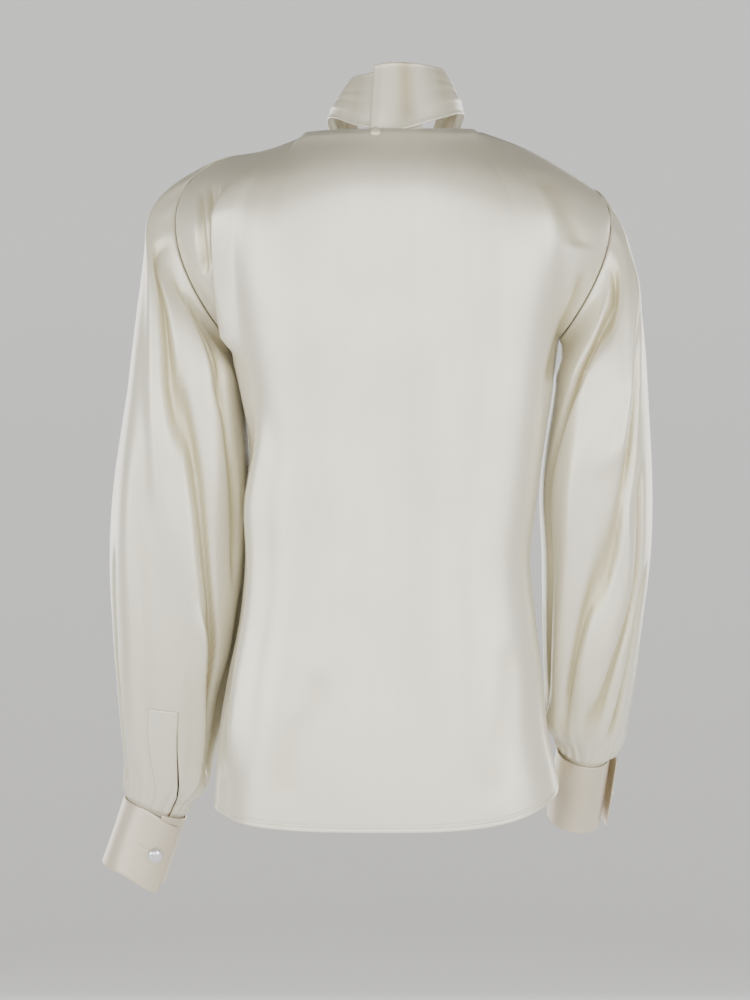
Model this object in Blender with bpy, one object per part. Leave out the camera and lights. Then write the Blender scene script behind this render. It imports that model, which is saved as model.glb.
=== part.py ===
"""Silk satin blouse with a tied neck scarf, in the hollow form it takes when worn.

Metres, +Z up. The wearer faces -Y, so +X is the wearer's left. The origin is the
centre of the neck opening at the height of the back neckline, where the shoulders
carry the cloth. Every cloth piece is a thin wall: its outer face is worked out from
named sizes and short tables, and its inner face lies one cloth thickness inside.

"Out" means away from the middle of the body: +X on the left, -X on the right.
"""

import math

import bpy
import numpy as np
from mathutils import Vector

# Cloth
CLOTH = 0.0012  # wall of a panel or sleeve
CUFF_CLOTH = 0.0015  # folded and interfaced
SCARF_CLOTH = 0.0016  # folded strip
SEAM = 0.0003  # gap between two sewn pieces
LIFT = 0.0004  # gap under a piece that lies on another

# Torso
ARMPIT = -0.190
HEM_BACK = -0.661
HEM_FRONT = -0.645
HEM_POWER = 3.4  # how late the hem turns up towards the side seam
SQUARE = 2.4  # squareness of the torso's cross-section; 2 is an ellipse
NECK_SHARE = 0.5  # share of a panel's half width that ends on the neckline
SHOULDER_CROWN = 0.004  # rise of the shoulder seam between its ends
FOLD_DEPTHWAYS = 1.3  # above 1 the torso's folds lift more forward or back than sideways
FOLD_FADE = 6  # how late the torso's folds die out towards the side seam

# Neckline
NAPE = (0.0, 0.060, 0.003)
NECK_POINT = (0.0895, -0.005, 0.0075)
V_BEND = (0.060, -0.072, -0.060)
V_POINT = (0.0, -0.114, -0.165)

# Sleeves and cuffs
UNDERARM_START = (0.006, -0.020)  # handles under the arm, out and up
UNDERARM_SETTLE = (0.000, 0.022)
ARMHOLE_SEAM = 0.0005  # gap between a panel's edge and the sleeve
SLIT_LENGTH = 0.100
PLACKET_WIDTH = 0.022
PLACKET_PAST_SLIT = 0.014
CUFF_HEIGHT = 0.070
UNDERLAP = 0.022
OUTER_TURN = 75.0  # degrees over which the outer end comes down to the ring
BUTTON_RADIUS = 0.0077
BUTTON_HEIGHT = 0.0052
BUTTON_FROM_EDGE = 0.017
BUTTON_LIFT = 0.0008  # its flat back clears the cuff's curve
BUTTON_FOOT = 0.86  # radius of its flat back, as a share of its own
BUTTON_WALL = 0.35  # share of its height below the dome
BUTTON_RINGS = 4
BUTTON_SIDES = 16
NAPE_BUTTON = {"radius": 0.0055, "height": 0.0045}
NAPE_BUTTON_AT = (0.0135, 0.0632, 0.0045)
NAPE_BUTTON_FACING = (0.1, 1.0, 0.25)

# Grid counts
PANEL_COLUMNS = 22
COLUMN_SPREAD = 0.93  # below 1 the columns crowd a little towards the side seams
LOWER_ROWS = 10
UPPER_ROWS = 7
SLEEVE_COLUMNS = 26
PLACKET_COLUMNS = 2
CAP_ROWS = 5
ARM_ROWS = 12
SLIT_ROWS = 4
CUFF_COLUMNS = 29
CUFF_ROWS = 3
NECK_COLUMNS = 15
NECK_ROWS = 5
END_COLUMNS = 7
END_ROWS = 11
KNOT_COLUMNS = 18
KNOT_ROWS = 10

# Steps and counts behind lengths and directions that are measured on a surface
STEP_TURN = 0.5  # degrees round the sleeve
STEP_DOWN = 0.01  # rings down the sleeve
GIRTH_POINTS = 73
SLIT_POINTS = 300
BUTTON_PATCH_TURN = 2.0  # degrees round the cuff
BUTTON_PATCH_DROP = 0.0007

# height, left half width, right half width, side seam's place, back depth, front
# depth; the last three are distances behind or in front of the origin
TORSO_SECTIONS = np.array([
    (-0.670, 0.170, 0.167, 0.018, 0.116, 0.116),
    (-0.620, 0.168, 0.163, 0.018, 0.116, 0.118),
    (-0.570, 0.165, 0.153, 0.018, 0.115, 0.120),
    (-0.520, 0.157, 0.148, 0.020, 0.113, 0.122),
    (-0.460, 0.145, 0.141, 0.022, 0.111, 0.125),
    (-0.400, 0.142, 0.136, 0.024, 0.110, 0.128),
    (-0.340, 0.140, 0.143, 0.024, 0.109, 0.131),
    (-0.270, 0.144, 0.154, 0.018, 0.110, 0.134),
    (ARMPIT, 0.157, 0.166, 0.004, 0.112, 0.132),
])

# Drape of the torso: turn from the middle of the panel to the left in degrees, its
# drift towards the hem, half width in degrees, depth, height where it starts,
# height where it is full. Depth is outward; a negative one is a trough.
BACK_FOLDS = np.array([
    (58, 8, 10, -0.0065, -0.180, -0.320),
    (73, 0, 8, 0.0050, -0.180, -0.300),
    (30, 6, 11, 0.0040, -0.280, -0.560),
    (8, 4, 12, -0.0035, -0.300, -0.600),
    (-20, -4, 12, 0.0035, -0.320, -0.600),
    (-46, -6, 10, -0.0065, -0.200, -0.460),
    (-68, -4, 9, 0.0060, -0.320, -0.600),
])
FRONT_FOLDS = np.array([
    (62, 6, 9, 0.0060, -0.220, -0.460),
    (38, 6, 10, -0.0075, -0.230, -0.500),
    (14, 2, 10, 0.0060, -0.280, -0.600),
    (-12, -2, 10, -0.0060, -0.280, -0.580),
    (-38, -5, 10, 0.0075, -0.230, -0.520),
    (-64, -4, 9, -0.0070, -0.220, -0.440),
])

# Columns that carry a panel from the armpit ring over the shoulder, as Bezier
# handles. share of the half width, then the lower handle from the ring and the
# upper handle from the top edge, each as out, back, up.
BACK_LEFT = np.array([
    (0.00, 0.000, 0.003, 0.095, 0.000, 0.046, -0.038),
    (0.30, 0.001, 0.009, 0.090, 0.006, 0.060, -0.030),
    (0.50, 0.004, 0.024, 0.085, 0.020, 0.080, -0.024),
    (0.75, 0.014, 0.046, 0.070, 0.058, 0.084, -0.032),
    (1.00, 0.008, 0.050, 0.006, 0.112, 0.072, -0.045),
])
BACK_RIGHT = np.array([
    (0.00, 0.000, 0.003, 0.095, 0.000, 0.046, -0.038),
    (0.30, 0.000, 0.009, 0.090, 0.006, 0.060, -0.030),
    (0.50, 0.003, 0.024, 0.085, 0.012, 0.080, -0.020),
    (0.75, 0.010, 0.046, 0.072, 0.024, 0.084, -0.024),
    (1.00, 0.006, 0.050, 0.006, 0.046, 0.078, -0.038),
])
FRONT_LEFT = np.array([
    (0.00, 0.000, -0.001, 0.008, 0.000, -0.004, -0.008),
    (0.30, -0.008, -0.001, 0.038, 0.006, -0.020, -0.038),
    (0.50, -0.002, -0.012, 0.066, 0.012, -0.056, -0.036),
    (0.75, 0.004, -0.032, 0.062, 0.032, -0.060, -0.026),
    (1.00, 0.004, -0.044, 0.010, 0.058, -0.054, -0.040),
])
FRONT_RIGHT = np.array([
    (0.00, 0.000, -0.001, 0.008, 0.000, -0.004, -0.008),
    (0.30, -0.008, -0.001, 0.038, 0.004, -0.020, -0.038),
    (0.50, -0.002, -0.012, 0.066, 0.006, -0.056, -0.034),
    (0.75, 0.003, -0.032, 0.062, 0.010, -0.060, -0.022),
    (1.00, 0.003, -0.044, 0.010, 0.010, -0.052, -0.034),
])

# Sleeve rings, from the upper arm to the cuff seam: height, centre out, centre
# back, half width out, half width back, lean out in degrees, lean forward in degrees
LEFT_RINGS = np.array([
    (-0.237, 0.2090, -0.012, 0.0515, 0.078, 0, 0),
    (-0.330, 0.2090, -0.021, 0.0625, 0.082, 0, 0),
    (-0.405, 0.2105, -0.028, 0.0630, 0.082, 0, 0),
    (-0.485, 0.2125, -0.036, 0.0580, 0.079, 2, 2),
    (-0.533, 0.2160, -0.041, 0.0515, 0.073, 5, 3),
    (-0.583, 0.2190, -0.046, 0.0455, 0.062, 9, 4),
    (-0.622, 0.2230, -0.050, 0.0395, 0.047, 15, 5),
    (-0.650, 0.2310, -0.053, 0.0330, 0.032, 19, 6),
])
RIGHT_RINGS = np.array([
    (-0.237, 0.2100, -0.012, 0.0415, 0.076, 0, 0),
    (-0.330, 0.2045, -0.021, 0.0520, 0.080, 0, 0),
    (-0.400, 0.2030, -0.029, 0.0525, 0.081, 0, 0),
    (-0.470, 0.1995, -0.038, 0.0480, 0.079, 0, 3),
    (-0.520, 0.1965, -0.045, 0.0430, 0.074, -2, 6),
    (-0.560, 0.1945, -0.051, 0.0380, 0.065, -5, 9),
    (-0.588, 0.1945, -0.056, 0.0330, 0.050, -7, 14),
    (-0.606, 0.1915, -0.060, 0.0250, 0.040, -8, 19),
])

# Sleeve folds: turn round the arm in degrees (0 towards the body, 90 back, 180
# out), its drift on the way down, half width in degrees, depth, and the share of
# the sleeve's length where it starts and where it is full
LEFT_FOLDS = np.array([
    (118, -42, 14, -0.0080, 0.05, 0.35),
    (150, -20, 13, 0.0050, 0.15, 0.50),
    (176, -14, 12, -0.0070, 0.45, 0.85),
    (215, 0, 14, 0.0060, 0.10, 0.60),
    (252, 12, 13, -0.0080, 0.15, 0.70),
    (300, 0, 14, 0.0050, 0.30, 0.75),
    (338, -8, 12, -0.0060, 0.45, 0.80),
    (38, 6, 12, -0.0050, 0.50, 0.85),
])
RIGHT_FOLDS = np.array([
    (128, -64, 13, -0.0070, 0.02, 0.45),
    (166, -62, 13, -0.0065, 0.20, 0.62),
    (188, -34, 12, -0.0065, 0.40, 0.80),
    (222, -6, 14, 0.0060, 0.10, 0.60),
    (258, 4, 13, -0.0080, 0.15, 0.70),
    (302, 0, 14, 0.0050, 0.30, 0.75),
    (336, 6, 12, -0.0060, 0.45, 0.80),
    (30, 4, 12, -0.0050, 0.50, 0.85),
])
GATHERS = 11  # pleats round the wrist where the sleeve is gathered into the cuff
GATHER_DEPTH = 0.0022
GATHER_START, GATHER_FULL = 0.72, 0.88  # shares of the sleeve's length
FOLDS_END = 0.90  # share of the sleeve's length where the cloth starts to lie flat

SIDES = {
    "left": {
        "out": 1.0,
        "shoulder": (0.1545, -0.012, -0.010),
        "hem": -0.636,
        "back": BACK_LEFT,
        "front": FRONT_LEFT,
        "rings": LEFT_RINGS,
        "folds": LEFT_FOLDS,
        "cap_start": (0.070, -0.010),  # handle over the shoulder, out and up
        "cap_settle": (-0.0125, 0.137),  # handle above the first ring, out and up
        "slit": 60.0,  # turn of the slit, in degrees
        "gape": 0.0010,
        "edge": 36.0,  # turn of the cuff's free edge
        "stand_off": 0.0028,  # how far the free edge stands off the underlap
        "slip": 0.0080,  # how far the free edge has slipped down
        "button_radius": 0.033,  # of the cuff where the button is
    },
    "right": {
        "out": -1.0,
        "shoulder": (0.199, -0.012, -0.042),
        "hem": -0.617,
        "back": BACK_RIGHT,
        "front": FRONT_RIGHT,
        "rings": RIGHT_RINGS,
        "folds": RIGHT_FOLDS,
        "cap_start": (0.021, -0.018),
        "cap_settle": (-0.0045, 0.087),
        "slit": 168.0,
        "gape": 0.0035,
        "edge": 168.0,
        "stand_off": 0.0080,
        "slip": 0.0,
        "button_radius": 0.040,
    },
}

# Neck scarf: the two stretches round the neck. Turn from the back of the neck in
# degrees, lower edge's radius and height, upper edge's radius and height
NECK_AXIS = (-0.007, -0.006)
SCARF_LEFT = np.array([
    (-24, 0.0600, 0.010, 0.0480, 0.063),
    (0, 0.0600, 0.008, 0.0480, 0.066),
    (35, 0.0625, 0.013, 0.0478, 0.065),
    (70, 0.0660, 0.024, 0.0475, 0.062),
    (100, 0.0680, 0.022, 0.0485, 0.052),
    (140, 0.0745, -0.010, 0.0580, 0.020),
    (163, 0.0795, -0.044, 0.0700, -0.020),
])
SCARF_RIGHT = np.array([
    (-24, 0.0660, 0.003, 0.0530, 0.072),
    (0, 0.0660, 0.007, 0.0530, 0.0745),
    (35, 0.0662, 0.019, 0.0515, 0.0725),
    (70, 0.0655, 0.028, 0.0495, 0.070),
    (100, 0.0665, 0.026, 0.0505, 0.058),
    (140, 0.0745, -0.006, 0.0580, 0.024),
    (163, 0.0795, -0.044, 0.0700, -0.020),
])
BAND_SWELL = 0.0035  # how far the middle of the band stands out
BAND_SWELL_TURN = 50.0  # degrees over which it starts, past the overlap at the nape
NECK_INSIDE = (-0.007, -0.006, 0.020)  # a point that the band goes round
KNOT_CENTRE = (-0.006, -0.087, -0.045)
KNOT_HALF = (0.0190, 0.0125, 0.0160)
KNOT_SQUARE = 0.7  # below 1 the knot is boxier than an egg

# Scarf ends below the knot: height, centre out, half width, depth in front
SCARF_END = np.array([
    (-0.063, 0.009, 0.0075, 0.0880),
    (-0.090, 0.013, 0.0120, 0.1040),
    (-0.125, 0.018, 0.0160, 0.1240),
    (-0.170, 0.024, 0.0210, 0.1390),
    (-0.240, 0.031, 0.0270, 0.1430),
    (-0.330, 0.037, 0.0320, 0.1420),
    (-0.420, 0.041, 0.0350, 0.1380),
])
END_SHIFT = -0.0042  # both ends hang this far to the right
END_WRAP = 2.6  # how fast the ends follow the chest's curve, per metre
END_FOLD = 0.0030  # depth of the ripple across a scarf end
END_WAVE, END_PHASE = 4.2, 0.6  # of that ripple, in radians per half width and radians
RIPPLE_START, RIPPLE_FULL = 0.070, 0.170  # below the origin
END_SLANT = 0.012  # half the slant of the lower edge
SLANT_START, SLANT_FULL = 0.250, 0.420
ENDS_INSIDE = (0.0, 0.0, -0.2)  # a point behind the ends

# colour, roughness, metallic
SATIN = ("ivory_satin", (0.85, 0.81, 0.70, 1.0), 0.35, 0.0)
CRYSTAL = ("crystal_button", (0.86, 0.87, 0.88, 1.0), 0.12, 0.1)
PEARL = ("covered_button", (0.80, 0.76, 0.66, 1.0), 0.30, 0.0)


def through(knots, values, at):
    """A smooth curve through a value at each knot, read at the given places."""
    at = np.clip(at, knots[0], knots[-1])
    slopes = np.gradient(values, knots, axis=0)
    i = np.clip(np.searchsorted(knots, at, side="right") - 1, 0, len(knots) - 2)
    step = knots[i + 1] - knots[i]
    t = (at - knots[i]) / step
    if np.ndim(values) > 1:
        step, t = step[..., None], t[..., None]
    ends = values[i] * (1 + 2 * t) * (1 - t) ** 2 + values[i + 1] * t * t * (3 - 2 * t)
    return ends + step * t * (1 - t) * (slopes[i] * (1 - t) - slopes[i + 1] * t)


def ease(x):
    """0 below 0, 1 above 1 and smooth in between."""
    x = np.clip(x, 0.0, 1.0)
    return x * x * (3 - 2 * x)


def bezier(a, b, c, d, t):
    """Point t of the cubic with ends a and d and handles b and c."""
    return a * (1 - t) ** 3 + 3 * b * t * (1 - t) ** 2 + 3 * c * t * t * (1 - t) + d * t**3


def bump(distance, half_width):
    """A soft ridge of height 1 across a fold."""
    return np.exp(-((distance / half_width) ** 2))


def with_length(vectors, length=1.0):
    """The same directions at one length."""
    return vectors * (length / np.linalg.norm(vectors, axis=-1, keepdims=True))


# Torso -----------------------------------------------------------------------


def torso_ring(face, across, height):
    """Point of the torso at a height. across runs from -1, right side, to 1, left."""
    row = through(TORSO_SECTIONS[:, 0], TORSO_SECTIONS[:, 1:], height)
    half = np.where(across > 0, row[..., 0], row[..., 1])
    seam = row[..., 2]
    depth = row[..., 3] - seam if face == "back" else -row[..., 4] - seam
    turn = across * math.pi / 2
    power = 2 / SQUARE
    x = half * np.sign(turn) * np.abs(np.sin(turn)) ** power
    y = seam + depth * np.clip(np.cos(turn), 0, 1) ** power
    return np.stack([x, y, height], axis=-1)


def torso_drape(face, across, height):
    """How far the folds lift the torso's cloth outward."""
    folds = BACK_FOLDS if face == "back" else FRONT_FOLDS
    lift = np.zeros(np.shape(across))
    for place, drift, width, depth, start, full in folds:
        grown = ease((start - height) / (start - full))
        lift += depth * grown * bump(across * 90 - place - drift * grown, width)
    return lift * (1 - np.abs(across) ** FOLD_FADE)


def side_rows(side, face, share, column):
    """A column of the side's handle table, read at the given share of the width."""
    table = SIDES[side][face]
    return through(table[:, 0], table[:, column : column + 3], share)


def top_edge(side, face, share):
    """The panel's top edge: the neckline, then the shoulder seam."""
    neck, shoulder = np.array(NECK_POINT), np.array(SIDES[side]["shoulder"])
    along = np.clip(share / NECK_SHARE, 0, 1)[..., None]
    if face == "back":
        turn = along * math.pi / 2
        across, back = np.sin(turn), np.cos(turn)
        rise = np.array(NAPE)[2] + (neck[2] - NAPE[2]) * along**2
        line = np.concatenate(
            [neck[0] * across, neck[1] + (NAPE[1] - neck[1]) * back, rise], axis=-1
        )
    else:
        point, bend = np.array(V_POINT), np.array(V_BEND)
        line = point * (1 - along) ** 2 + 2 * bend * along * (1 - along) + neck * along**2
    past = np.clip((share - NECK_SHARE) / (1 - NECK_SHARE), 0, 1)[..., None]
    seam = neck + (shoulder - neck) * past
    seam[..., 2:] += SHOULDER_CROWN * np.sin(math.pi * past)
    return np.where(share[..., None] <= NECK_SHARE, line, seam)


def upper_panel(face, across, climb):
    """The panel above the armpit. climb runs from 0 at the ring to 1 at the top."""
    ring = torso_ring(face, across, np.full(np.shape(across), ARMPIT))
    share = np.abs(across)
    result = np.zeros(np.shape(across) + (3,))
    for side, facts in SIDES.items():
        flip = np.array([facts["out"], 1.0, 1.0])
        foot = ring * flip
        top = top_edge(side, face, share)
        low = foot + side_rows(side, face, share, 1)
        high = top + side_rows(side, face, share, 4)
        curve = bezier(foot, low, high, top, climb[..., None]) * flip
        mine = (across > 0) if side == "left" else (across <= 0)
        result = np.where(mine[..., None], curve, result)
    return result


def hem_height(face, across):
    """The shirt-tail hem: lowest in the middle, and higher at each side seam."""
    middle = HEM_BACK if face == "back" else HEM_FRONT
    side = np.where(across > 0, SIDES["left"]["hem"], SIDES["right"]["hem"])
    return middle + (side - middle) * np.abs(across) ** HEM_POWER


def panel_grid(face):
    """Outer face of the front or back: rows from hem to top, right side to left."""
    across = np.linspace(-1, 1, PANEL_COLUMNS + 1)
    across = np.sign(across) * np.abs(across) ** COLUMN_SPREAD
    rows = np.linspace(0, 1, LOWER_ROWS + 1)
    wide, share = np.meshgrid(across, rows)
    height = hem_height(face, wide) * (1 - share) + ARMPIT * share
    lower = torso_ring(face, wide, height)
    outward = lower * np.array([1.0, FOLD_DEPTHWAYS, 0.0])
    lower += with_length(outward) * torso_drape(face, wide, height)[..., None]
    wide, climb = np.meshgrid(across, np.linspace(0, 1, UPPER_ROWS + 1)[1:])
    grid = np.concatenate([lower, upper_panel(face, wide, climb)])
    grid[..., 1] += SEAM / 2 if face == "back" else -SEAM / 2
    return grid if face == "front" else grid[:, ::-1]


def panel_normals(grid):
    """Outward normals that stay in the seam plane along the side and shoulder seams."""
    normals = surface_normals(grid)
    shoulder = np.abs(grid[-1, :, 0]) >= NECK_POINT[0] - SEAM
    normals[-1, shoulder, 1] = 0.0
    normals[: LOWER_ROWS + 1, [0, -1], 1] = 0.0
    return with_length(normals)


# Sleeves ---------------------------------------------------------------------


def armhole(side, turn):
    """The armhole's seam line as out, back, up. 0 is the underarm, 180 the shoulder."""
    facts = SIDES[side]
    shoulder = np.array(facts["shoulder"])
    side_sign = np.array([facts["out"]])
    foot = torso_ring("back", side_sign, np.array([ARMPIT]))[0]
    foot = foot * np.array([facts["out"], 1.0, 1.0])
    back = bezier_edge(facts["back"], foot, shoulder, np.clip(turn / 180, 0, 1))
    front = bezier_edge(facts["front"], foot, shoulder, np.clip((360 - turn) / 180, 0, 1))
    return np.where(turn[..., None] <= 180, back, front)


def bezier_edge(table, foot, top, climb):
    """The side edge of a panel above the armpit, by the last row of its handles."""
    low, high = foot + table[-1, 1:4], top + table[-1, 4:7]
    return bezier(foot, low, high, top, climb[..., None])


def arm_ring(side, turn, place):
    """Ring at a place along the sleeve's ring table, 0 being its first row."""
    table = SIDES[side]["rings"]
    row = through(np.arange(len(table)), table, place)
    height, out, back, half_out, half_back, lean_out, lean_fore = np.moveaxis(row, -1, 0)
    angle = np.radians(turn)
    flat_out, flat_back = -half_out * np.cos(angle), half_back * np.sin(angle)
    lean_out, lean_fore = np.radians(lean_out), np.radians(lean_fore)
    return np.stack([
        out + flat_out * np.cos(lean_out),
        back + flat_back * np.cos(lean_fore),
        height + flat_out * np.sin(lean_out) - flat_back * np.sin(lean_fore),
    ], axis=-1)


def handle(low, high, share):
    """A Bezier handle between two given as out and up, as out, back, up."""
    out, up = (a + (b - a) * share for a, b in zip(low, high))
    return np.stack([out, 0 * share, up], axis=-1)


def sleeve_base(side, turn, down):
    """Smooth sleeve. down is 0 at the armhole, 1 at the first ring, then ring by ring."""
    turn, down = np.broadcast_arrays(turn % 360, down)
    start = armhole(side, turn) + np.array([ARMHOLE_SEAM, 0, 0])
    high = (1 - np.cos(np.radians(turn))) / 2  # 1 over the shoulder, 0 under the arm
    first = arm_ring(side, turn, np.zeros(turn.shape))
    reach = handle(UNDERARM_START, SIDES[side]["cap_start"], high)
    settle = handle(UNDERARM_SETTLE, SIDES[side]["cap_settle"], high)
    cap = bezier(start, start + reach, first + settle, first, np.clip(down, 0, 1)[..., None])
    arm = arm_ring(side, turn, np.clip(down - 1, 0, None))
    return np.where(down[..., None] <= 1, cap, arm)


def sleeve_lift(side, turn, down):
    """How far folds and gathers lift the sleeve's cloth outward."""
    last = len(SIDES[side]["rings"])
    share = down / last
    lift = np.zeros(np.shape(turn))
    for place, drift, width, depth, start, full in SIDES[side]["folds"]:
        grown = ease((share - start) / (full - start))
        away = (turn - place - drift * share + 180) % 360 - 180
        lift += depth * grown * bump(away, width)
    near = ease((share - GATHER_START) / (GATHER_FULL - GATHER_START))
    lift += GATHER_DEPTH * near * np.sin(np.radians(turn * GATHERS))
    return lift * (1 - ease((share - FOLDS_END) / (1 - FOLDS_END)))


def sleeve_surface(side, turn, down):
    """Outer face of a sleeve, and its outward normals, as out, back, up."""
    turn, down = np.broadcast_arrays(turn, down)
    last = len(SIDES[side]["rings"])
    base = sleeve_base(side, turn, down)
    ahead, behind = np.clip(down + STEP_DOWN, 0, last), np.clip(down - STEP_DOWN, 0, last)
    along = sleeve_base(side, turn, ahead) - sleeve_base(side, turn, behind)
    around = sleeve_base(side, turn + STEP_TURN, down) - sleeve_base(
        side, turn - STEP_TURN, down
    )
    normals = with_length(np.cross(around, along))
    return base + normals * sleeve_lift(side, turn, down)[..., None], normals


def mirrored(side, points):
    """Points given as out, back, up in the part's frame."""
    return points * np.array([SIDES[side]["out"], 1.0, 1.0])


def girth(side, place):
    """Length round the sleeve at places along its ring table."""
    ring = arm_ring(side, np.linspace(0, 360, GIRTH_POINTS)[None, :], place[:, None])
    return np.linalg.norm(np.diff(ring, axis=1), axis=2).sum(axis=1)


def sleeve_rows(side):
    """Places of the sleeve's rows, with the number of the row where the slit starts.

    The row above that one is the top of the placket.
    """
    last = len(SIDES[side]["rings"])
    fine = np.linspace(last, 1, SLIT_POINTS)
    line, _ = sleeve_surface(side, np.full(SLIT_POINTS, SIDES[side]["slit"]), fine)
    to_cuff = np.cumsum(np.linalg.norm(np.diff(line, axis=0), axis=1))
    slit_top, placket_top = np.interp(
        [SLIT_LENGTH, SLIT_LENGTH + PLACKET_PAST_SLIT], to_cuff, fine[1:]
    )
    cap = np.linspace(0, 1, CAP_ROWS + 1)
    above = np.linspace(1, placket_top, ARM_ROWS - SLIT_ROWS)[1:]
    below = np.linspace(slit_top, last, SLIT_ROWS + 1)
    return np.concatenate([cap, above, below]), len(cap) + len(above)


def sleeve_grid(side):
    """Outer face of a sleeve, and the row where the slit starts.

    Column 0 is the slit, and the next two columns are under the placket.
    """
    rows, first = sleeve_rows(side)
    last = rows[-1]
    placket = 360 * PLACKET_WIDTH / girth(side, np.clip(rows - 1, 0, None))
    beside = np.linspace(0, 1, PLACKET_COLUMNS + 1) * placket[:, None]
    rest = np.linspace(0, 1, SLEEVE_COLUMNS - PLACKET_COLUMNS + 1)[1:]
    rest = placket[:, None] + (360 - placket[:, None]) * rest
    turn = SIDES[side]["slit"] + np.concatenate([beside, rest], axis=1)
    points, _ = sleeve_surface(side, turn, rows[:, None])
    points[-1] += with_length(points[-2] - points[-1], SEAM)
    opened = ease((rows[first + 1 :] - rows[first]) / (last - rows[first]))
    gape = SEAM + SIDES[side]["gape"] * opened[:, None]
    across = with_length(points[first + 1 :, 1] - points[first + 1 :, -2])
    points[first + 1 :, 0] += across * gape / 2
    points[first + 1 :, -1] -= across * gape / 2
    return points, first


def sleeve_normals(points, first):
    """Outward normals of a sleeve's grid, which closes on itself above the slit."""
    closed = np.concatenate([points[:, -2:-1], points, points[:, 1:2]], axis=1)
    normals = surface_normals(closed)[:, 1:-1]
    normals[0, :, 0] = np.minimum(normals[0, :, 0], 0.0)
    normals[: first + 1, -1] = normals[: first + 1, 0]
    return with_length(normals)


# Cuffs -----------------------------------------------------------------------


def cuff_frame(side):
    """Centre of the cuff's seam ring and its three directions, as out, back, up."""
    row = SIDES[side]["rings"][-1]
    height, out, back, _, _, lean_out, lean_fore = row
    lean_out, lean_fore = math.radians(lean_out), math.radians(lean_fore)
    sideways = np.array([math.cos(lean_out), 0.0, math.sin(lean_out)])
    rearward = np.array([0.0, math.cos(lean_fore), -math.sin(lean_fore)])
    down = with_length(np.cross(rearward, sideways))
    return np.array([out, back, height]), sideways, rearward, down


def cuff_surface(side, wound, drop):
    """Outer face of a cuff. wound is degrees from the free edge, 0 to past 360."""
    facts = SIDES[side]
    centre, sideways, rearward, down = cuff_frame(side)
    half_out, half_back = facts["rings"][-1][3:5]
    outer = 1 - ease(wound / OUTER_TURN)
    radius = outer * facts["stand_off"]
    angle = np.radians(facts["edge"] + wound)
    across = -(half_out + radius) * np.cos(angle)
    behind = (half_back + radius) * np.sin(angle)
    place = centre + across[..., None] * sideways + behind[..., None] * rearward
    slipped = drop + facts["slip"] * outer
    return place + slipped[..., None] * down


def cuff_grid(side):
    """Outer face of a cuff, wound once round and a little further, as the underlap."""
    overlap = math.degrees(UNDERLAP / SIDES[side]["button_radius"])
    wound, drop = np.meshgrid(
        np.linspace(0, 360 + overlap, CUFF_COLUMNS), np.linspace(SEAM, CUFF_HEIGHT, CUFF_ROWS)
    )
    return cuff_surface(side, wound, drop)


# Scarf -----------------------------------------------------------------------


def scarf_stretch(side):
    """Stretch of the scarf from the back of the neck to the knot, lower edge first."""
    table = SCARF_LEFT if side == "left" else SCARF_RIGHT
    out = SIDES[side]["out"]
    turn = np.linspace(table[0, 0], table[-1, 0], NECK_COLUMNS)
    low_radius, low, high_radius, high = np.moveaxis(
        through(table[:, 0], table[:, 1:], turn), -1, 0
    )
    rise = np.linspace(0, 1, NECK_ROWS)[:, None]
    radius = low_radius + (high_radius - low_radius) * rise
    started = ease((turn + table[0, 0]) / BAND_SWELL_TURN)
    radius = radius + BAND_SWELL * np.sin(math.pi * rise) * started
    height = low + (high - low) * rise
    angle = np.radians(turn)[None, :]
    x = NECK_AXIS[0] + out * radius * np.sin(angle)
    y = NECK_AXIS[1] + radius * np.cos(angle)
    return np.stack([x, y, height], axis=-1)


def scarf_end(side):
    """One end of the scarf, hanging from the knot down the front."""
    out = SIDES[side]["out"]
    height = np.linspace(SCARF_END[0, 0], SCARF_END[-1, 0], END_ROWS)
    centre, half, depth = np.moveaxis(
        through(-SCARF_END[:, 0], SCARF_END[:, 1:], -height), -1, 0
    )
    across = np.linspace(-1, 1, END_COLUMNS)[None, :]
    below = -height[:, None]
    x = (centre[:, None] + half[:, None] * across) * out + END_SHIFT
    grown = ease((below - RIPPLE_START) / (RIPPLE_FULL - RIPPLE_START))
    y = -depth[:, None] + END_WRAP * x * x * grown
    y = y + END_FOLD * grown * np.sin(across * END_WAVE + END_PHASE)
    slanted = ease((below - SLANT_START) / (SLANT_FULL - SLANT_START))
    drop = END_SLANT * across * out * slanted
    return np.stack([x, y, height[:, None] + drop], axis=-1)


# Meshes ----------------------------------------------------------------------


def surface_normals(grid):
    """Unit normals of a grid of points, by the cross product of its two steps."""
    along, around = np.gradient(grid, axis=0), np.gradient(grid, axis=1)
    return with_length(np.cross(around, along))


def wall(name, outer, inner, material, joined_rows=0):
    """A closed wall between two grids. The first joined_rows rows close on themselves."""
    rows, columns = outer.shape[:2]
    index = np.arange(rows * columns).reshape(rows, columns)
    index[:joined_rows, -1] = index[:joined_rows, 0]
    under = index + rows * columns
    faces = []

    def strip(a, b, c, d):
        faces.extend(np.stack([a, b, c, d], axis=-1).reshape(-1, 4).tolist())

    strip(index[:-1, :-1], index[:-1, 1:], index[1:, 1:], index[1:, :-1])
    strip(under[:-1, :-1], under[1:, :-1], under[1:, 1:], under[:-1, 1:])
    strip(index[0, 1:], index[0, :-1], under[0, :-1], under[0, 1:])
    strip(index[-1, :-1], index[-1, 1:], under[-1, 1:], under[-1, :-1])
    free = max(joined_rows - 1, 0)
    strip(index[free:-1, 0], index[free + 1 :, 0], under[free + 1 :, 0], under[free:-1, 0])
    strip(index[free + 1 :, -1], index[free:-1, -1], under[free:-1, -1], under[free + 1 :, -1])
    points = np.concatenate([outer.reshape(-1, 3), inner.reshape(-1, 3)])
    return closed_object(name, points, faces, material)


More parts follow.
